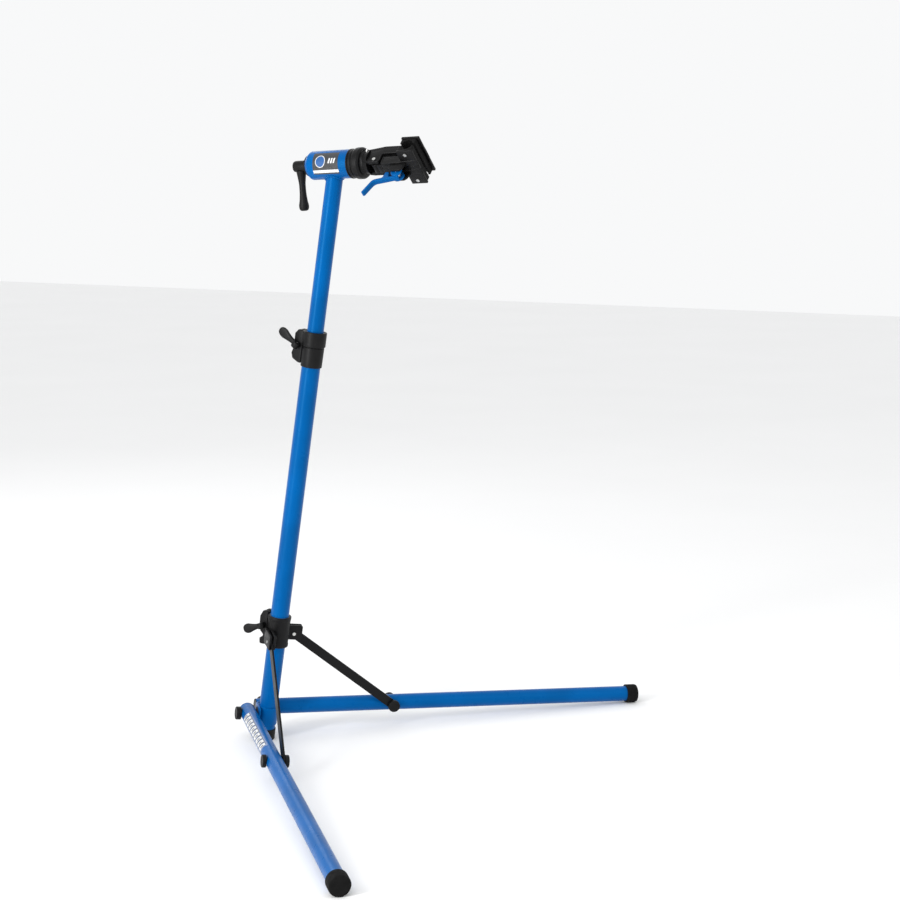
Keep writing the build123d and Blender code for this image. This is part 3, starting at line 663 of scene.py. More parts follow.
# ---------------------------------------------------------------- pieces: base and legs
def cap_profile(radius, height, edge, dish=0.8):
    """Moulded cap: straight skirt, rounded rim, and a face dished inside a low ring."""
    return fillet_profile(
        [(POLE, 0), (radius, 0), (radius, height), (radius * 0.72, height),
         (radius * 0.62, height - dish), (POLE, height - dish)],
        [0, 0.5, edge, 0.4, 0.8, 0],
    )


def build_post_foot():
    """Foot cap under the post: a short cup with two grooves, cut level with the floor.

    Each row is a radius, a height and a share of the cut.  A ring's height is the row's, plus
    its share of radius times cosine of the angle times the lean's tangent.
    """
    lean = UP_POST[0] / UP_POST[2]
    rows = np.array([
        (POLE, 0, 1), (22.4, 0, 1), (23.6, 1.0, 1), (24.0, 2.4, 1), (24, 9, 0.5), (24, 14, 0),
        (23.3, 14.6, 0), (23.3, 16.0, 0), (24, 16.6, 0), (24, 20, 0), (23.3, 20.6, 0),
        (23.3, 22, 0), (24, 22.6, 0), (24, 29.4, 0), (23.6, 30.5, 0), (22.6, 31, 0),
        (LOWER_R + FIT, 31, 0), (LOWER_R + FIT, 12, 0), (POLE, 12, 0),
    ])
    angle = np.linspace(0, 2 * pi, 96, endpoint=False)[None, :]
    radius, height, share = (rows[:, column, None] for column in range(3))
    rise = height + share * radius * np.cos(angle) * lean
    rings = np.stack([radius * np.cos(angle), radius * np.sin(angle), rise], -1)
    points, faces = shell(POST.at(rings))
    points[:, 2] = np.maximum(points[:, 2], 0)
    piece("post_foot", [(points, faces)], "base", finishes()["moulded_nylon"],
          ["post_foot_cap"])


def build_bracket():
    """Saddle round the post with a pressed cheek for each leg."""
    half_height, half_width = 22.0, 24.0
    band_outline = rounded(
        [(LOWER_R + POLE, HINGE_S - half_height), (BRACKET_R, HINGE_S - half_height),
         (BRACKET_R, HINGE_S + half_height), (LOWER_R + POLE, HINGE_S + half_height)], 0.9, 4)
    shells = [turned_ring(POST, band_outline)]
    cheek = rounded([(-half_width, -half_height), (half_width, -half_height),
                     (half_width, half_height), (-half_width, half_height)], 6.0, 9)
    for side in (-1, 1):
        shells.append(prism(beside(side, 0, 0, 0), cheek, LOWER_R + POLE, BRACE_OUTER, 0.9))
    piece("leg_saddle", shells, "base", finishes()["frame_paint"], ["leg_bracket"])
    caps = []
    for side in (-1, 1):
        spot = beside(side, 0, 0, LEG_OFFSET + LEG_R + CAP_GAP)
        caps.append(lathe(spot, cap_profile(15.5, 12.0, 2.6)))
    piece("hinge_caps", caps, "base", finishes()["moulded_nylon"],
          ["leg_pivot_caps"])


def build_leg(side, name):
    """Rubber foot with grooves, rear plug and the moulded caps on the brace bolt."""
    body = "leg_" + name
    looks = finishes()
    groove_depth, first_groove, pitch = 0.7, -8.0, 4.0
    rows = [(POLE, 0.0), (FOOT_R - 5.0, 0.0), (FOOT_R - 1.5, -1.4), (FOOT_R, -5.0)]
    for groove in range(bpy.context.scene.stand_sizes.foot_grooves):
        at = first_groove - pitch * groove
        rows += [(FOOT_R, at), (FOOT_R - groove_depth, at - 0.5),
                 (FOOT_R - groove_depth, at - 1.3), (FOOT_R, at - 1.8)]
    rows += [(FOOT_R, -FOOT_LENGTH + 1.2), (FOOT_R - 1.2, -FOOT_LENGTH),
             (LEG_R + FIT, -FOOT_LENGTH), (LEG_R + FIT, -4.0), (POLE, -4.0)]
    points, faces = lathe(leg_spot(side, LEG_LENGTH), rows, 96)
    points[:, 2] = np.maximum(points[:, 2], 0)
    piece(name + "_foot", [(points, faces)], body, looks["moulded_rubber"],
          [name + "_leg_foot"])

    plug = fillet_profile([(POLE, -1.6), (15.0, -2.0), (LEG_R, -2.0), (LEG_R, 0), (17.4, 0),
                           (17.4, 10), (POLE, 10)], [0, 2, 1.2, 0.3, 0.2, 1.0, 0])
    piece(name + "_plug", [lathe(leg_spot(side, -LEG_REAR), plug)], body,
          looks["moulded_nylon"], [name + "_leg_plug"])

    bolt = on_leg(side, BRACE_HOLE, LEG_OFFSET + LEG_R + FIT)
    shank = on_leg(side, BRACE_HOLE, BRACE_OUTER + CAP_GAP)
    reach = LEG_OFFSET + LEG_R - BRACE_OUTER
    rod = [(POLE, 0), (BOLT_R, 0), (BOLT_R, reach), (POLE, reach)]
    piece(name + "_bolt_cap", [lathe(bolt, cap_profile(14.5, 8.9, 2.4)), lathe(shank, rod)], body,
          looks["moulded_nylon"], [name + "_brace_bolt"])

    inner = on_leg(side, BRACE_HOLE, BRACE_INNER)
    turned_in = Spot(inner.origin, inner.x, -inner.z)
    reach = BRACE_OUTER - BRACE_INNER
    shaft = [(POLE, 0.0), (BOLT_R, 0.0), (BOLT_R, reach), (POLE, reach)]
    piece(name + "_nut_cap", [lathe(turned_in, cap_profile(14.5, 9.0, 2.4)), lathe(inner, shaft)],
          "brace_" + name, looks["moulded_nylon"], [name + "_brace_nut"])


# ---------------------------------------------------------------- pieces: collars
def ears(outline, slit, edge):
    """The two clamping ears behind a collar, either side of its slit."""
    view = Spot((0, 0, 0), POST.x, np.cross(POST.x, POST.z))
    line = rounded(outline, 4.0, 8)
    low, high = slit / 2, EAR_HALF
    return [prism(view, line, low, high, edge), prism(view, line, -high, -low, edge)]


def build_collars():
    """Collar at the top of the lower post and the one that slides for the braces."""
    looks = finishes()
    ear_edge = 2.2
    bottom, seam, top = 920.0, 968.0, 1002.0
    bore = LOWER_R + FIT
    upper = rounded([(bore, bottom), (24.6, bottom), (25.2, seam - 2.6), (23.6, seam - 1.6),
                     (23.6, seam), (27.2, seam), (27.2, top), (bore, top)],
                    [0.3, 1.6, 1.0, 0.4, 0.4, 1.6, 2.0, 0.4], 6)
    shells = [split_ring(POST, upper, SLIT, pi)]
    shells += ears([(-22.6, 924), (-31, 925), (-46, 932), (-50, 944), (-46, 958), (-41, 966),
                    (-46, 976), (-46, 991), (-38, 1001), (-22.6, 1001)], SLIT, ear_edge)
    piece("post_collar", shells, "base", looks["moulded_nylon"],
          ["height_collar"])

    low, high, bore, radius, waist = 241.0, 315.0, 24.03, 28.0, 27.1
    body = rounded([(bore, low), (radius, low), (radius, low + 7), (waist, low + 8.5),
                    (waist, high - 8.5), (radius, high - 7), (radius, high), (bore, high)],
                   [0.4, 1.6, 0.8, 0.8, 0.8, 0.8, 1.6, 0.4], 6)
    shells = [split_ring(POST, body, SLIT, pi)]
    shells += ears([(-24.6, 238), (-40, 236), (-42, 250), (-31, 259), (-42, 268), (-46, 277),
                    (-47, 304), (-40, 319), (-30, 321), (-24.6, 318)], SLIT, ear_edge)
    piece("brace_slider", shells + lugs(), "collar", looks["moulded_nylon"],
          ["slide_collar"])


def lugs():
    """The sliding collar's forked lugs: two plates either side of each brace, and a web."""
    edge = bpy.context.scene.stand_sizes.edge
    middle = 267.0 - HINGE_S
    reach, half = 64.0, 18.0
    shells = []
    for side in (-1, 1):
        spot = beside(side, 0, middle, 0)
        for low, from_x, high in ((15.55, 18.8, 21.55), (26.65, 2.0, 31.65)):
            plate = rounded([(from_x, -half), (reach, -half), (reach, half), (from_x, half)],
                            [1.5, 4.5, 4.5, 1.5], 8)
            shells.append(prism(spot, plate, low, high, edge))
        web = rounded([(11.5, 1 - half), (17.0, 1 - half), (17.0, half - 1), (11.5, half - 1)],
                      1.0, 3)
        shells.append(prism(spot, web, 21.4, 26.8, 0.2))
    return shells


def build_paddle(joint, body, node, length, half_width, name):
    """Cam lever of a collar: a round cam on its pin and an oval finger paddle.

    The paddle's centre line and half thickness run smoothly from cam to tip; its half width
    swells to the oval and closes as an ellipse does.
    """
    cam_r, cam_half, pin_bore = 8.5, 7.0, 2.55
    neck_half, thickness = 6.3, 3.5
    pin = joint_axis(joint) * np.sign(joint_axis(joint) @ UP_POST)
    spot = Spot(joint_place(joint), np.cross(-ACROSS, pin), pin)
    cam = rounded([(pin_bore, -cam_half), (cam_r, -cam_half), (cam_r, cam_half),
                   (pin_bore, cam_half)], [0.3, 1.5, 1.5, 0.3], 6)
    centre = smooth_path([(1.5, -3.2, 0), (12, -1.6, 0), (24, 0.9, 0), (length * 0.7, 2.2, 0),
                          (length - 0.4, 3.2, 0)], 44)
    along = (centre[:, 0] - centre[0, 0]) / (centre[-1, 0] - centre[0, 0])
    swell = neck_half + (half_width - neck_half) * np.clip((along - 0.2) / 0.45, 0, 1) ** 1.4
    tip = np.sqrt(np.maximum(1 - np.clip((along - 0.72) / 0.28, 0, 1) ** 2.2, 0.0015))
    fade = np.sqrt(np.maximum(1 - np.clip((along - 0.9) / 0.1, 0, 1) ** 2.4, 0.003))
    paddle = swept(spot.at(centre), swell * tip, thickness * fade, spot.z, 32, 3.0)
    piece(name, [turned_ring(spot, cam, 64), paddle], body,
          finishes()["moulded_nylon"], [node])


# ---------------------------------------------------------------- pieces: head
def build_sleeve():
    """Head sleeve with its rolled end, and the weld bead that joins it to the upper tube.

    The bead follows the curve where both cylinders meet: round the tube, its depth below
    the head is the root of the quadratic that puts the point on the sleeve's surface.
    """
    looks = finishes()
    bore, end_bore = 29.0, 12.95
    outline = rounded([(SLEEVE_R, SLEEVE_FRONT), (SLEEVE_R, SLEEVE_REAR + 9),
                       (SLEEVE_R - 8, SLEEVE_REAR), (end_bore, SLEEVE_REAR),
                       (end_bore, SLEEVE_REAR + 3), (22, SLEEVE_REAR + 3),
                       (bore, SLEEVE_REAR + 11), (bore, SLEEVE_FRONT)],
                      [0.7, 5.0, 2.5, 0.4, 0.4, 2, 2, 0.4], 8)
    bead_r = bpy.context.scene.stand_sizes.weld_width
    angle = np.linspace(0, 2 * pi, 360, endpoint=False)
    toe = UPPER_R + 0.6
    side, front = toe * np.sin(angle), toe * np.cos(angle)
    along, down = float(POST.x @ HEAD.z), float(POST.z @ HEAD.z)
    square, linear = 1 - down**2, 2 * front * along * down
    rest = front**2 * (1 - along**2) + side**2 - (SLEEVE_R + 0.4) ** 2
    depth = (-linear + np.sqrt(linear**2 - 4 * square * rest)) / (2 * square)
    path = (HEAD.origin + front[:, None] * POST.x + side[:, None] * POST.y
            - depth[:, None] * POST.z)
    ripple = 1 + 0.10 * np.cos(angle * 46) + 0.05 * np.cos(angle * 7 + 1.0)
    bead = swept(path, bead_r * ripple, bead_r * ripple, POST.z, 14, 2.0, closed=True)
    piece("clamp_sleeve", [turned_ring(HEAD, outline, 128), bead], "mast",
          looks["frame_paint"], ["head_sleeve"])
    cap_r, cap_bore = 23.5, 12.6
    cap = rounded([(cap_bore, SLEEVE_REAR - 6), (cap_r - 3.5, SLEEVE_REAR - 6),
                   (cap_r, SLEEVE_REAR - 3.2), (cap_r, SLEEVE_REAR - POLE),
                   (cap_bore, SLEEVE_REAR - POLE)], [0.3, 1.8, 1.5, 0.2, 0.2], 6)
    piece("sleeve_cap", [turned_ring(HEAD, cap)], "mast",
          looks["moulded_nylon"], ["sleeve_end_cap"])


def build_crank():
    """Crank: a hub on the spindle and a hanging bulb-ended grip."""
    hub_t, hub_rear, hub_front, swing = -94.5, -107.0, -75.35, radians(3.5)
    bore, hub_r = 10.03, 13.0
    hub = rounded([(bore, hub_rear), (hub_r, hub_rear), (hub_r, hub_front), (bore, hub_front)],
                  [0.3, 1.8, 1.0, 0.3], 6)
    down = -HEAD.y * cos(swing) + HEAD.x * sin(swing)
    spot = Spot(HEAD.at((0, 0, hub_t)), HEAD.z, down)
    grip = smooth_path([(11.3, 10.4), (11.0, 14), (9.5, 24), (7.8, 37), (7.5, 48), (7.8, 61),
                        (9.4, 77), (11.3, 87), (10.6, 95), (7.2, 99.2), (0.05, 100)], 70)
    piece("crank_grip", [turned_ring(HEAD, hub), lathe(spot, grip)], "crank",
          finishes()["moulded_nylon"], ["crank_handle"])


def build_flange():
    """Turned flange of the clamp, with a groove round it."""
    outline = rounded([(SPINDLE_BORE, FLANGE_REAR), (32.5, FLANGE_REAR), (32.5, 54), (31, 55.2),
                       (31, 56.4), (34.4, 58), (35, 61), (35, 71), (32, FLANGE_FRONT - POLE),
                       (SPINDLE_BORE, FLANGE_FRONT - POLE)],
                      [0.3, 1.4, 0.6, 0.6, 0.6, 1.2, 2.0, 2.4, 2.0, 0.3], 6)
    piece("flange", [turned_ring(HEAD, outline, 128)], "clamp",
          finishes()["cast_paint"], ["clamp_flange"])


def cheeks(corners, radii, inner):
    """Two cast cheeks of a jaw from one outline, each with a low border on its outer face."""
    border, width = 0.7, 3.0
    outline = rounded(corners, radii, 8)
    shells = []
    for side in (-1, 1):
        low, high = sorted((side * inner, side * (BEAM_HALF - border)))
        shells.append(prism(JAWS, outline, low, high, 1.2, 4))
        face = Spot(JAWS.origin, JAWS.x, JAWS.z * side)
        flip = [(t, y * side) for t, y in corners]
        shells.append(rim(face, flip, width, BEAM_HALF - border - 1.0, BEAM_HALF, radii, border))
    return shells


def build_arm():
    """Fixed jaw: a neck, two cast cheeks with low borders, webs between them, and its plate."""
    neck_end, inner, outer = 92.9, BEAM_INNER, BEAM_OUTER
    neck = smooth_path([(26.5, FLANGE_FRONT), (25.2, 79), (25, 83), (26.4, neck_end)], 24)
    profile = [(POLE, FLANGE_FRONT)] + neck.tolist() + [(POLE, neck_end)]
    corners = [(BEAM_ROOT, -17), (100, -20), (124, -20), (127, -14), (127, inner),
               (182, inner), (182, PAD_BACK), (ARM_FRONT, PAD_BACK), (ARM_FRONT, JAW_BACK),
               (190, 24.5), (176, outer), (128, outer), (BEAM_ROOT, 18)]
    cheek = 12.2
    shells = [lathe(HEAD, profile, 96)]
    shells += cheeks(corners, [6, 6, 3, 3, 5, 1.5, 1.5, 1.0, 2.0, 5, 5, 12, 7], cheek)

    slit, lap, rod_hole = 4.35, 0.1, 4.3
    root = [(93, 0), (93, -19), (BEAM_ROOT, -17), (BEAM_ROOT, 18), (128, outer)]
    foot = [(127, inner), (127, 0)]
    beside_rod = root + [(176, outer), (176, inner)] + foot
    behind_rod = root + [(ROD_T - rod_hole, outer), (ROD_T - rod_hole, inner)] + foot
    before_rod = [(ROD_T + rod_hole, inner), (182, inner), (182, PAD_BACK), (ARM_FRONT, PAD_BACK),
                  (ARM_FRONT, JAW_BACK), (190, 24.5), (ROD_T + rod_hole, outer)]
    webs = [(beside_rod, slit, cheek + lap), (beside_rod, -cheek - lap, -slit),
            (behind_rod, -slit - lap, slit + lap), (before_rod, -cheek - lap, cheek + lap)]
    shells += [prism(JAWS, rounded(line, 0.5, 3), low, high, 0.05, 2) for line, low, high in webs]
    plate = rounded([(182.2, PAD_BACK), (ARM_FRONT, PAD_BACK), (ARM_FRONT, JAW_BACK),
                     (182.2, JAW_BACK)], 1.4, 5)
    shells.append(prism(JAWS, plate, -PAD_HALF - 2, PAD_HALF + 2, 1.6))
    piece("fixed_jaw", shells, "clamp", finishes()["cast_paint"], ["clamp_arm"], 35)


def build_moving_jaw():
    """Swinging jaw: two bordered cheeks, walls beside the cam, a web, a plate and its pin's eye."""
    inner, outer, slit, lap = -BEAM_INNER, -BEAM_OUTER, 4.75, 0.1
    corners = [(133, inner), (133, outer), (178, outer), (190, -24.5), (JAW_FRONT, -JAW_BACK),
               (JAW_FRONT, -PAD_BACK), (182, -PAD_BACK), (176, inner)]
    shells = cheeks(corners, [3, 4, 5, 5, 2, 1, 1.5, 1.5], slit)

    wall = rounded([(154, -24), (158, -40), (164, -45), (185, -45), (191, -40), (196, -22)],
                   [1, 4, 4, 4, 4, 1], 7)
    for low, high in ((-17.0, -12.0), (12.0, 17.0)):
        shells.append(prism(JAWS, wall, low, high, 1.4))

    root = rounded([(133, inner), (133, outer), (168.5, outer), (168.5, inner)], 1.0, 3)
    tip = rounded([(187.6, -24.6), (JAW_FRONT, -JAW_BACK), (JAW_FRONT, -PAD_BACK),
                   (187.6, -PAD_BACK)], 0.8, 3)
    for line in (root, tip):
        shells.append(prism(JAWS, line, -slit - lap, slit + lap, 0.05, 2))

    plate = rounded([(183, -PAD_BACK), (JAW_FRONT, -PAD_BACK), (JAW_FRONT, -JAW_BACK),
                     (183, -JAW_BACK)], 1.4, 5)
    for low, high in ((-PAD_HALF - 1, -slit), (slit, PAD_HALF + 1)):
        shells.append(prism(JAWS, plate, low, high, 1.6))

    half, bore, eye_r = 11.85, 4.12, 11.0
    hub = Spot(JAWS.at((HINGE_T, HINGE_Y, 0)), JAWS.x, JAWS.z)
    eye = rounded([(bore, -half), (eye_r, -half), (eye_r, half), (bore, half)],
                  [0.4, 1.0, 1.0, 0.4], 4)
    shells.append(turned_ring(hub, eye, 64))
    strap = rounded([(HINGE_T + 6.5, -1.2), (HINGE_T + 24, inner), (HINGE_T + 24, -23),
                     (HINGE_T + 6.5, -23)], 1.0, 3)
    shells.append(prism(JAWS, strap, -half, half, 0.8))
    piece("swinging_jaw", shells, "jaw", finishes()["cast_paint"],
          ["moving_jaw"], 35)


def build_pads():
    """Rubber pads: a round groove for the seat post, and ribs all round by a cosine.

    The groove is a circular arc round the clamped tube's centre, between the pad's edges.
    Both ends ease in as a quarter circle does.
    """
    half_width, rib_depth, rib_half, end = 18.0, 0.35, 4.0, 1.6
    meet = asin(PAD_EDGE / TUBE_R)
    arc = np.linspace(pi - meet, meet, 25)
    for side, name, body in ((1, "fixed_pad", "clamp"), (-1, "moving_pad", "jaw")):
        groove = np.column_stack([TUBE_T + TUBE_R * np.cos(arc), TUBE_R * np.sin(arc)])
        shell_line = [(TUBE_T + half_width, PAD_EDGE + 1.2), (TUBE_T + half_width, PAD_BACK - 0.5),
                      (TUBE_T + half_width - 0.5, PAD_BACK), (TUBE_T - half_width + 0.5, PAD_BACK),
                      (TUBE_T - half_width, PAD_BACK - 0.5), (TUBE_T - half_width, PAD_EDGE + 1.2),
                      (TUBE_T - half_width + 1.2, PAD_EDGE)]
        line = np.vstack([groove, [(TUBE_T + half_width - 1.2, PAD_EDGE)], shell_line])
        line = line * (1, side)
        place = np.linspace(-PAD_HALF, PAD_HALF, 193)
        ribbed = np.abs(place) < PAD_HALF - 3.9
        rib = rib_depth * (0.5 - 0.5 * np.cos(place / rib_half * pi)) * ribbed
        into_end = np.clip((np.abs(place) - PAD_HALF + end) / end, 0, 1)
        ease = end * (1 - np.sqrt(np.maximum(1 - into_end**2, 0)))
        rings = np.array([np.column_stack([inset(line, r + e), np.full(len(line), z)])
                          for r, e, z in zip(rib, ease, place)])
        piece(name + "_rubber", [shell(JAWS.at(rings))], body,
              finishes()["moulded_rubber"], [name])


def build_cam_lever():
    """Quick-release lever: two cam discs on the rod's pin and a cranked arm with a stop lug."""
    pin = Spot(JAWS.at((ROD_T, CAM_Y, 0)), JAWS.x, JAWS.z)
    shells = []
    pin_bore, cam_r = 3.1, 13.0
    for low, high in ((CAM_INNER, CAM_OUTER), (-CAM_OUTER, -CAM_INNER)):
        disc = rounded([(pin_bore, low), (cam_r, low), (cam_r, high), (pin_bore, high)],
                       [0.3, 1.5, 1.5, 0.3], 6)
        shells.append(turned_ring(pin, disc, 80))
    corners = [(181, -49.2), (157, -52), (154, -37), (144, -38), (142, -54), (119, -59),
               (104, -97), (110.5, -99.5), (124, -65.5), (181, -53.8)]
    outline = rounded(corners, [2, 3, 4, 4, 4, 14, 3, 3, 12, 2], 10)
    handle_half = 6.0
    shells.append(prism(JAWS, outline, -handle_half, handle_half, 2.0, 6))
    piece("release_lever", shells, "cam", finishes()["frame_paint"],
          ["cam_lever"], 35)


def build_knob():
    """Adjusting knob: finger lobes by a cosine round the rim, and a plain hub."""
    count = bpy.context.scene.stand_sizes.knob_lobes
    spot = Spot(JAWS.at((ROD_T, 27.35, 0)), JAWS.x, JAWS.y)
    outline = rounded([(4.12, 0), (18, 0), (18, 14), (10.5, 14.6), (9, 19), (4.12, 19)],
                      [0.3, 2.2, 3.0, 2.0, 1.4, 0.3], 7)

    def lobes(angle, radius):
        share = np.clip((radius - 11) / 5, 0, 1)
        return 1 - 0.12 * share * (0.5 + 0.5 * np.cos(angle * count)) ** 1.5

    piece("tension_knob", [turned_ring(spot, outline, 192, lobes)], "knob",
          finishes()["moulded_nylon"], ["adjusting_knob"])


def build_spring():
    """Coil spring between the jaws: a helix whose rise slows towards both ends by a sine."""
    turns = bpy.context.scene.stand_sizes.spring_turns
    wire, radius, low, high = 0.75, 6.3, -4.3, 4.6
    count = turns * 40 + 1
    place = np.linspace(0, 1, count)
    angle = place * turns * 2 * pi
    rise = low + (high - low) * (place - 0.06 * np.sin(2 * pi * place))
    local = np.stack([radius * np.cos(angle), radius * np.sin(angle), rise], -1)
    spot = Spot(JAWS.at((ROD_T, 0, 0)), JAWS.x, JAWS.y)
    piece("return_spring", [swept(spot.at(local), wire, wire, spot.z, 12, 2.0)], "clamp",
          finishes()["zinc_plate"], ["jaw_spring"])


# ---------------------------------------------------------------- pieces: labels
def curved_label(name, spot, radius, from_angle, to_angle, low, high, body, node, paint):
    """Film wrapped on a cylinder; its print runs by length and by angle on the UV map."""
    count, rows = 41, 9
    back, out = radius + FILM[0], radius + FILM[1]
    angle = np.linspace(from_angle, to_angle, count)[:, None]
    length = np.linspace(low, high, rows)
    section_r = np.concatenate([np.full(rows, out), np.full(rows, back)])[None, :]
    section_z = np.concatenate([length, length[::-1]])[None, :]
    rings = np.stack([section_r * np.cos(angle), section_r * np.sin(angle),
                      section_z + 0 * angle], -1)
    made = piece(name, [shell(spot.at(rings))], body,
                 printed_film(name + "_print", paint), [node])
    mesh = made.data
    corners = np.empty(len(mesh.loops), int)
    mesh.loops.foreach_get("vertex_index", corners)
    across = np.repeat(np.linspace(0, 1, count), 2 * rows)
    span = np.tile(np.concatenate([np.linspace(0, 1, rows), np.linspace(1, 0, rows)]), count)
    layer = mesh.uv_layers.new(name="print")
    layer.data.foreach_set("uv", np.stack([span, across], -1)[corners].ravel())


def paint_head_label(shader, u, v):
    """Dark panel, a blue disc ringed in white, three slanted bars and a strip along one edge."""
    panel = (0.018, 0.019, 0.022, 1)
    white = (0.72, 0.73, 0.74, 1)
    blue = rgba(tuple(bpy.context.scene.stand_finish.blue))
    away_u = shader.math("MULTIPLY", shader.math("SUBTRACT", u, 0.30), 1.4)
    away_v = shader.math("SUBTRACT", v, 0.42)
    far = shader.math("SQRT", shader.math("ADD", shader.math("MULTIPLY", away_u, away_u),
                                          shader.math("MULTIPLY", away_v, away_v)), 0.0)
    colour = shader.mix(band(shader, far, -1.0, 0.24), panel, blue)
    colour = shader.mix(band(shader, far, 0.24, 0.27), colour, white)
    slant = shader.math("ADD", u, shader.math("MULTIPLY", v, 0.18))
    rows = band(shader, v, 0.30, 0.52)
    for start in (0.70, 0.80, 0.90):
        bar = shader.math("MULTIPLY", rows, band(shader, slant, start, start + 0.055))
        colour = shader.mix(bar, colour, white)
    colour = shader.mix(band(shader, v, 0.80, 0.93), colour, white)
    return colour


def paint_leg_label(shader, u, v):
    """Row of slanted pale blocks with dark borders, each with a dark core, on the frame's blue."""
    white = (0.62, 0.63, 0.64, 1)
    dark = (0.012, 0.013, 0.015, 1)
    blue = rgba(tuple(bpy.context.scene.stand_finish.blue))
    slant = shader.math("ADD", shader.math("MULTIPLY", u, 10.0), shader.math("MULTIPLY", v, 0.35))
    cell = shader.math("FRACT", slant, 0.0)
    length = band(shader, u, 0.01, 0.96)
    border = shader.math("MULTIPLY", band(shader, cell, 0.06, 0.94), band(shader, v, 0.10, 0.90))
    block = shader.math("MULTIPLY", band(shader, cell, 0.14, 0.80), band(shader, v, 0.16, 0.84))
    core = shader.math("MULTIPLY", band(shader, cell, 0.42, 0.62), band(shader, v, 0.34, 0.66))
    colour = shader.mix(shader.math("MULTIPLY", border, length), blue, dark)
    colour = shader.mix(shader.math("MULTIPLY", block, length), colour, white)
    return shader.mix(shader.math("MULTIPLY", core, length), colour, dark)


def build_labels():
    """Films on the clamp sleeve's side and on the near leg's outer and upper side."""
    curved_label("sleeve_film", HEAD, SLEEVE_R, radians(127), radians(220), -43, 23,
                 "mast", "head_label", paint_head_label)
    curved_label("leg_film", leg_spot(-1), LEG_R, radians(-74), radians(14), 44, 268,
                 "leg_near", "leg_label", paint_leg_label)


# ---------------------------------------------------------------- carried-over nodes
NODE_LOOKS = {
    "frame_paint": ["lower_tube", "upper_tube", "near_leg", "far_leg"],
    "cast_paint": ["near_brace", "far_brace"],
    "moulded_nylon": ["mast_guide", "crank_end_disc", "friction_ring"],
    "bearing_nylon": ["leg_pivot_washers", "height_bushing", "slide_liner", "rear_bearing",
                      "front_bearing", "near_leg_spacer", "far_leg_spacer"],
    "zinc_plate": ["leg_pivot_studs", "height_clamp_bolt", "height_cam_pin", "slide_clamp_bolt",
                   "slide_cam_pin", "brace_pins", "clamp_spindle", "jaw_pivot_pin",
                   "fixed_pad_screws", "moving_pad_screws", "arm_set_screw", "draw_rod",
                   "cam_lever_pin"],
}


# ---------------------------------------------------------------- operators
def done(names):
    """An operator's result, or an error when a piece is missing."""
    missing = [name for name in names if name not in bpy.data.objects]
    if missing:
        raise RuntimeError("not built: " + ", ".join(missing))
    return {"FINISHED"}


class STAND_OT_base(Operator):
    """Builds the foot caps, leg bracket, hinge caps and the moulded parts of both legs"""

    bl_idname = "stand.base"
    bl_label = "Base and Legs"

    def execute(self, context):
        build_post_foot()
        build_bracket()
        build_leg(-1, "near")
        build_leg(1, "far")
        return done(["post_foot", "leg_saddle", "hinge_caps", "near_foot", "far_foot"])


class STAND_OT_collars(Operator):
    """Builds both collars and their cam levers"""

    bl_idname = "stand.collars"
    bl_label = "Collars and Levers"

    def execute(self, context):
        build_collars()
        build_paddle("height_lever_open", "lever_height", "height_lever", 54.0, 11.5,
                     "post_lever")
        build_paddle("collar_lever_open", "lever_collar", "collar_lever", 50.0, 11.5,
                     "slider_lever")
        return done(["post_collar", "brace_slider", "post_lever", "slider_lever"])


class STAND_OT_head(Operator):
    """Builds the welded sleeve, its end cap and the crank"""

    bl_idname = "stand.head"
    bl_label = "Head Sleeve"

    def execute(self, context):
        build_sleeve()
        build_crank()
        return done(["clamp_sleeve", "sleeve_cap", "crank_grip"])


class STAND_OT_clamp(Operator):
    """Builds the flange, both jaws, the pads, the cam lever, the knob and the spring"""

    bl_idname = "stand.clamp"
    bl_label = "Clamp"

    def execute(self, context):
        build_flange()
        build_arm()
        build_moving_jaw()
        build_pads()
        build_cam_lever()
        build_knob()
        build_spring()
        return done(["flange", "fixed_jaw", "swinging_jaw", "fixed_pad_rubber",
                     "moving_pad_rubber", "release_lever", "tension_knob", "return_spring"])


class STAND_OT_labels(Operator):
    """Wraps the printed films on the sleeve and the near leg"""

    bl_idname = "stand.labels"
    bl_label = "Labels"

    def execute(self, context):
        build_labels()
        return done(["sleeve_film", "leg_film"])


class STAND_OT_carried(Operator):
    """Gives every tube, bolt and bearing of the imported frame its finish"""

    bl_idname = "stand.carried"
    bl_label = "Tubes and Fasteners"

    def execute(self, context):
        looks = finishes()
        for look, nodes in NODE_LOOKS.items():
            for node in nodes:
                finish_node(node, looks[look])
        return {"FINISHED"}


class STAND_OT_stage(Operator):
    """Sets the plain floor, the soft lights and the camera"""

    bl_idname = "stand.stage"
    bl_label = "Stage"

    def execute(self, context):
        build_floor()
        build_lights()
        build_camera()
        return {"FINISHED"}


class STAND_PT_panel(Panel):
    bl_idname = "STAND_PT_panel"
    bl_label = "Repair Stand"
    bl_space_type = "VIEW_3D"
    bl_region_type = "UI"
    bl_category = "Repair Stand"

    def draw(self, context):
        layout = self.layout
        scene = context.scene
        for settings in (scene.stand_finish, scene.stand_sizes, scene.stand_stage):
            column = layout.box().column()
            for key in settings.__annotations__:
                column.prop(settings, key)
        for operator in OPERATORS:
            layout.operator(operator.bl_idname)


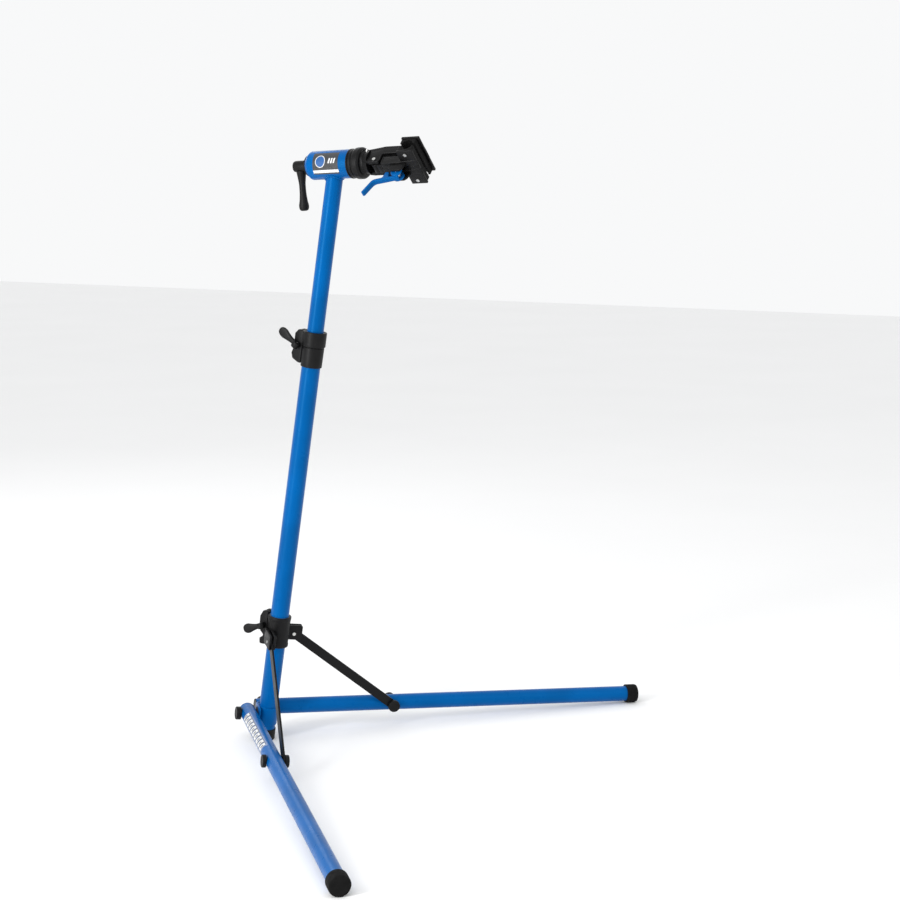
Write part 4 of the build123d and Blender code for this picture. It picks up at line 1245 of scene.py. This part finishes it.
# ---------------------------------------------------------------- stage
def build_floor():
    """Plain pale floor, one square at the stand's feet."""
    stage = bpy.context.scene.stand_stage
    half = 14.0
    mesh = bpy.data.meshes.new("floor")
    mesh.from_pydata([(-half, -half, 0), (half, -half, 0), (half, half, 0), (-half, half, 0)],
                     [], [(0, 1, 2, 3)])
    floor = bpy.data.objects.new("floor", mesh)
    bpy.context.scene.collection.objects.link(floor)
    shader = Shader("floor_paint")
    drift = shader.spread(shader.noise(1.2, 3.0), 0.3, 0.7)
    shader.colour(shader.mix(drift, rgba(stage.floor_colour, 0.985), rgba(stage.floor_colour)))
    shader.fixed(Roughness=0.75)
    mesh.materials.append(shader.material)


def placed(x_dir, y_dir, z_dir, place):
    """Matrix that turns an object to three directions and sets it at a place."""
    rows = [[x_dir[i], y_dir[i], z_dir[i], place[i]] for i in range(3)]
    return Matrix(rows + [[0, 0, 0, 1]])


def area_light(name, place, aim, size, height, power, colour=(1, 1, 1)):
    """Rectangular soft light that faces a point."""
    data = bpy.data.lights.new(name, "AREA")
    data.shape = "RECTANGLE"
    data.size = size
    data.size_y = height
    data.energy = power
    data.color = colour
    lamp = bpy.data.objects.new(name, data)
    bpy.context.scene.collection.objects.link(lamp)
    back = unit(np.array(place) - np.array(aim))
    side = unit(np.cross((0, 0, 1), back))
    up = np.cross(back, side)
    lamp.matrix_world = placed(side, up, back, place)


def build_lights():
    """A large soft key above, a tall strip beside the camera, a weak fill and a pale sky."""
    power = bpy.context.scene.stand_stage.key_power
    area_light("key", (0.2, -3.2, 3.6), (0.2, 0, 0.8), 2.2, 2.2, power)
    area_light("strip", (-0.7, -3.1, 1.4), (0.1, 0, 0.9), 0.32, 2.6, power * 2.2)
    area_light("fill", (3.8, -0.6, 2.4), (0.2, 0, 0.8), 2.0, 2.0, power * 0.35, (0.96, 0.98, 1.0))
    area_light("rim", (-2.6, 2.0, 2.8), (0.2, 0, 0.9), 1.8, 1.8, power * 0.5)
    world = bpy.data.worlds.new("studio")
    world.use_nodes = True
    world.node_tree.nodes["Background"].inputs["Color"].default_value = (0.99, 0.995, 1.0, 1)
    world.node_tree.nodes["Background"].inputs["Strength"].default_value = 0.95
    bpy.context.scene.world = world
    bpy.context.scene.view_settings.view_transform = "Standard"


def build_camera():
    """Camera from its place, azimuth, pitch and roll, up square to its forward direction."""
    stage = bpy.context.scene.stand_stage
    turn, pitch = stage.camera_azimuth, stage.camera_pitch
    forward = np.array([-sin(turn) * cos(pitch), cos(turn) * cos(pitch), -sin(pitch)])
    right = unit(np.cross(forward, (0, 0, 1)))
    up = np.cross(right, forward)
    roll = stage.camera_roll
    right, up = right * cos(roll) + up * sin(roll), up * cos(roll) - right * sin(roll)
    data = bpy.data.cameras.new("camera")
    data.lens = stage.camera_lens
    data.sensor_width = 36
    data.clip_end = 100
    camera = bpy.data.objects.new("camera", data)
    bpy.context.scene.collection.objects.link(camera)
    camera.matrix_world = placed(right, up, -forward, stage.camera_place)
    bpy.context.scene.camera = camera


# ---------------------------------------------------------------- registration
SETTINGS = {"stand_finish": StandFinish, "stand_sizes": StandSizes, "stand_stage": StageSettings}
OPERATORS = [STAND_OT_base, STAND_OT_collars, STAND_OT_head, STAND_OT_clamp, STAND_OT_labels,
             STAND_OT_carried, STAND_OT_stage]


def register():
    for kind in [*SETTINGS.values(), *OPERATORS, STAND_PT_panel]:
        bpy.utils.register_class(kind)
    for name, kind in SETTINGS.items():
        setattr(bpy.types.Scene, name, PointerProperty(type=kind))


def unregister():
    for name in SETTINGS:
        delattr(bpy.types.Scene, name)
    for kind in reversed([*SETTINGS.values(), *OPERATORS, STAND_PT_panel]):
        bpy.utils.unregister_class(kind)


def main():
    register()
    for operator in ("base", "collars", "head", "clamp", "labels", "carried", "stage"):
        result = getattr(bpy.ops.stand, operator)()
        if result != {"FINISHED"}:
            raise RuntimeError("stand." + operator + " did not finish")


if __name__ == "__main__":
    main()
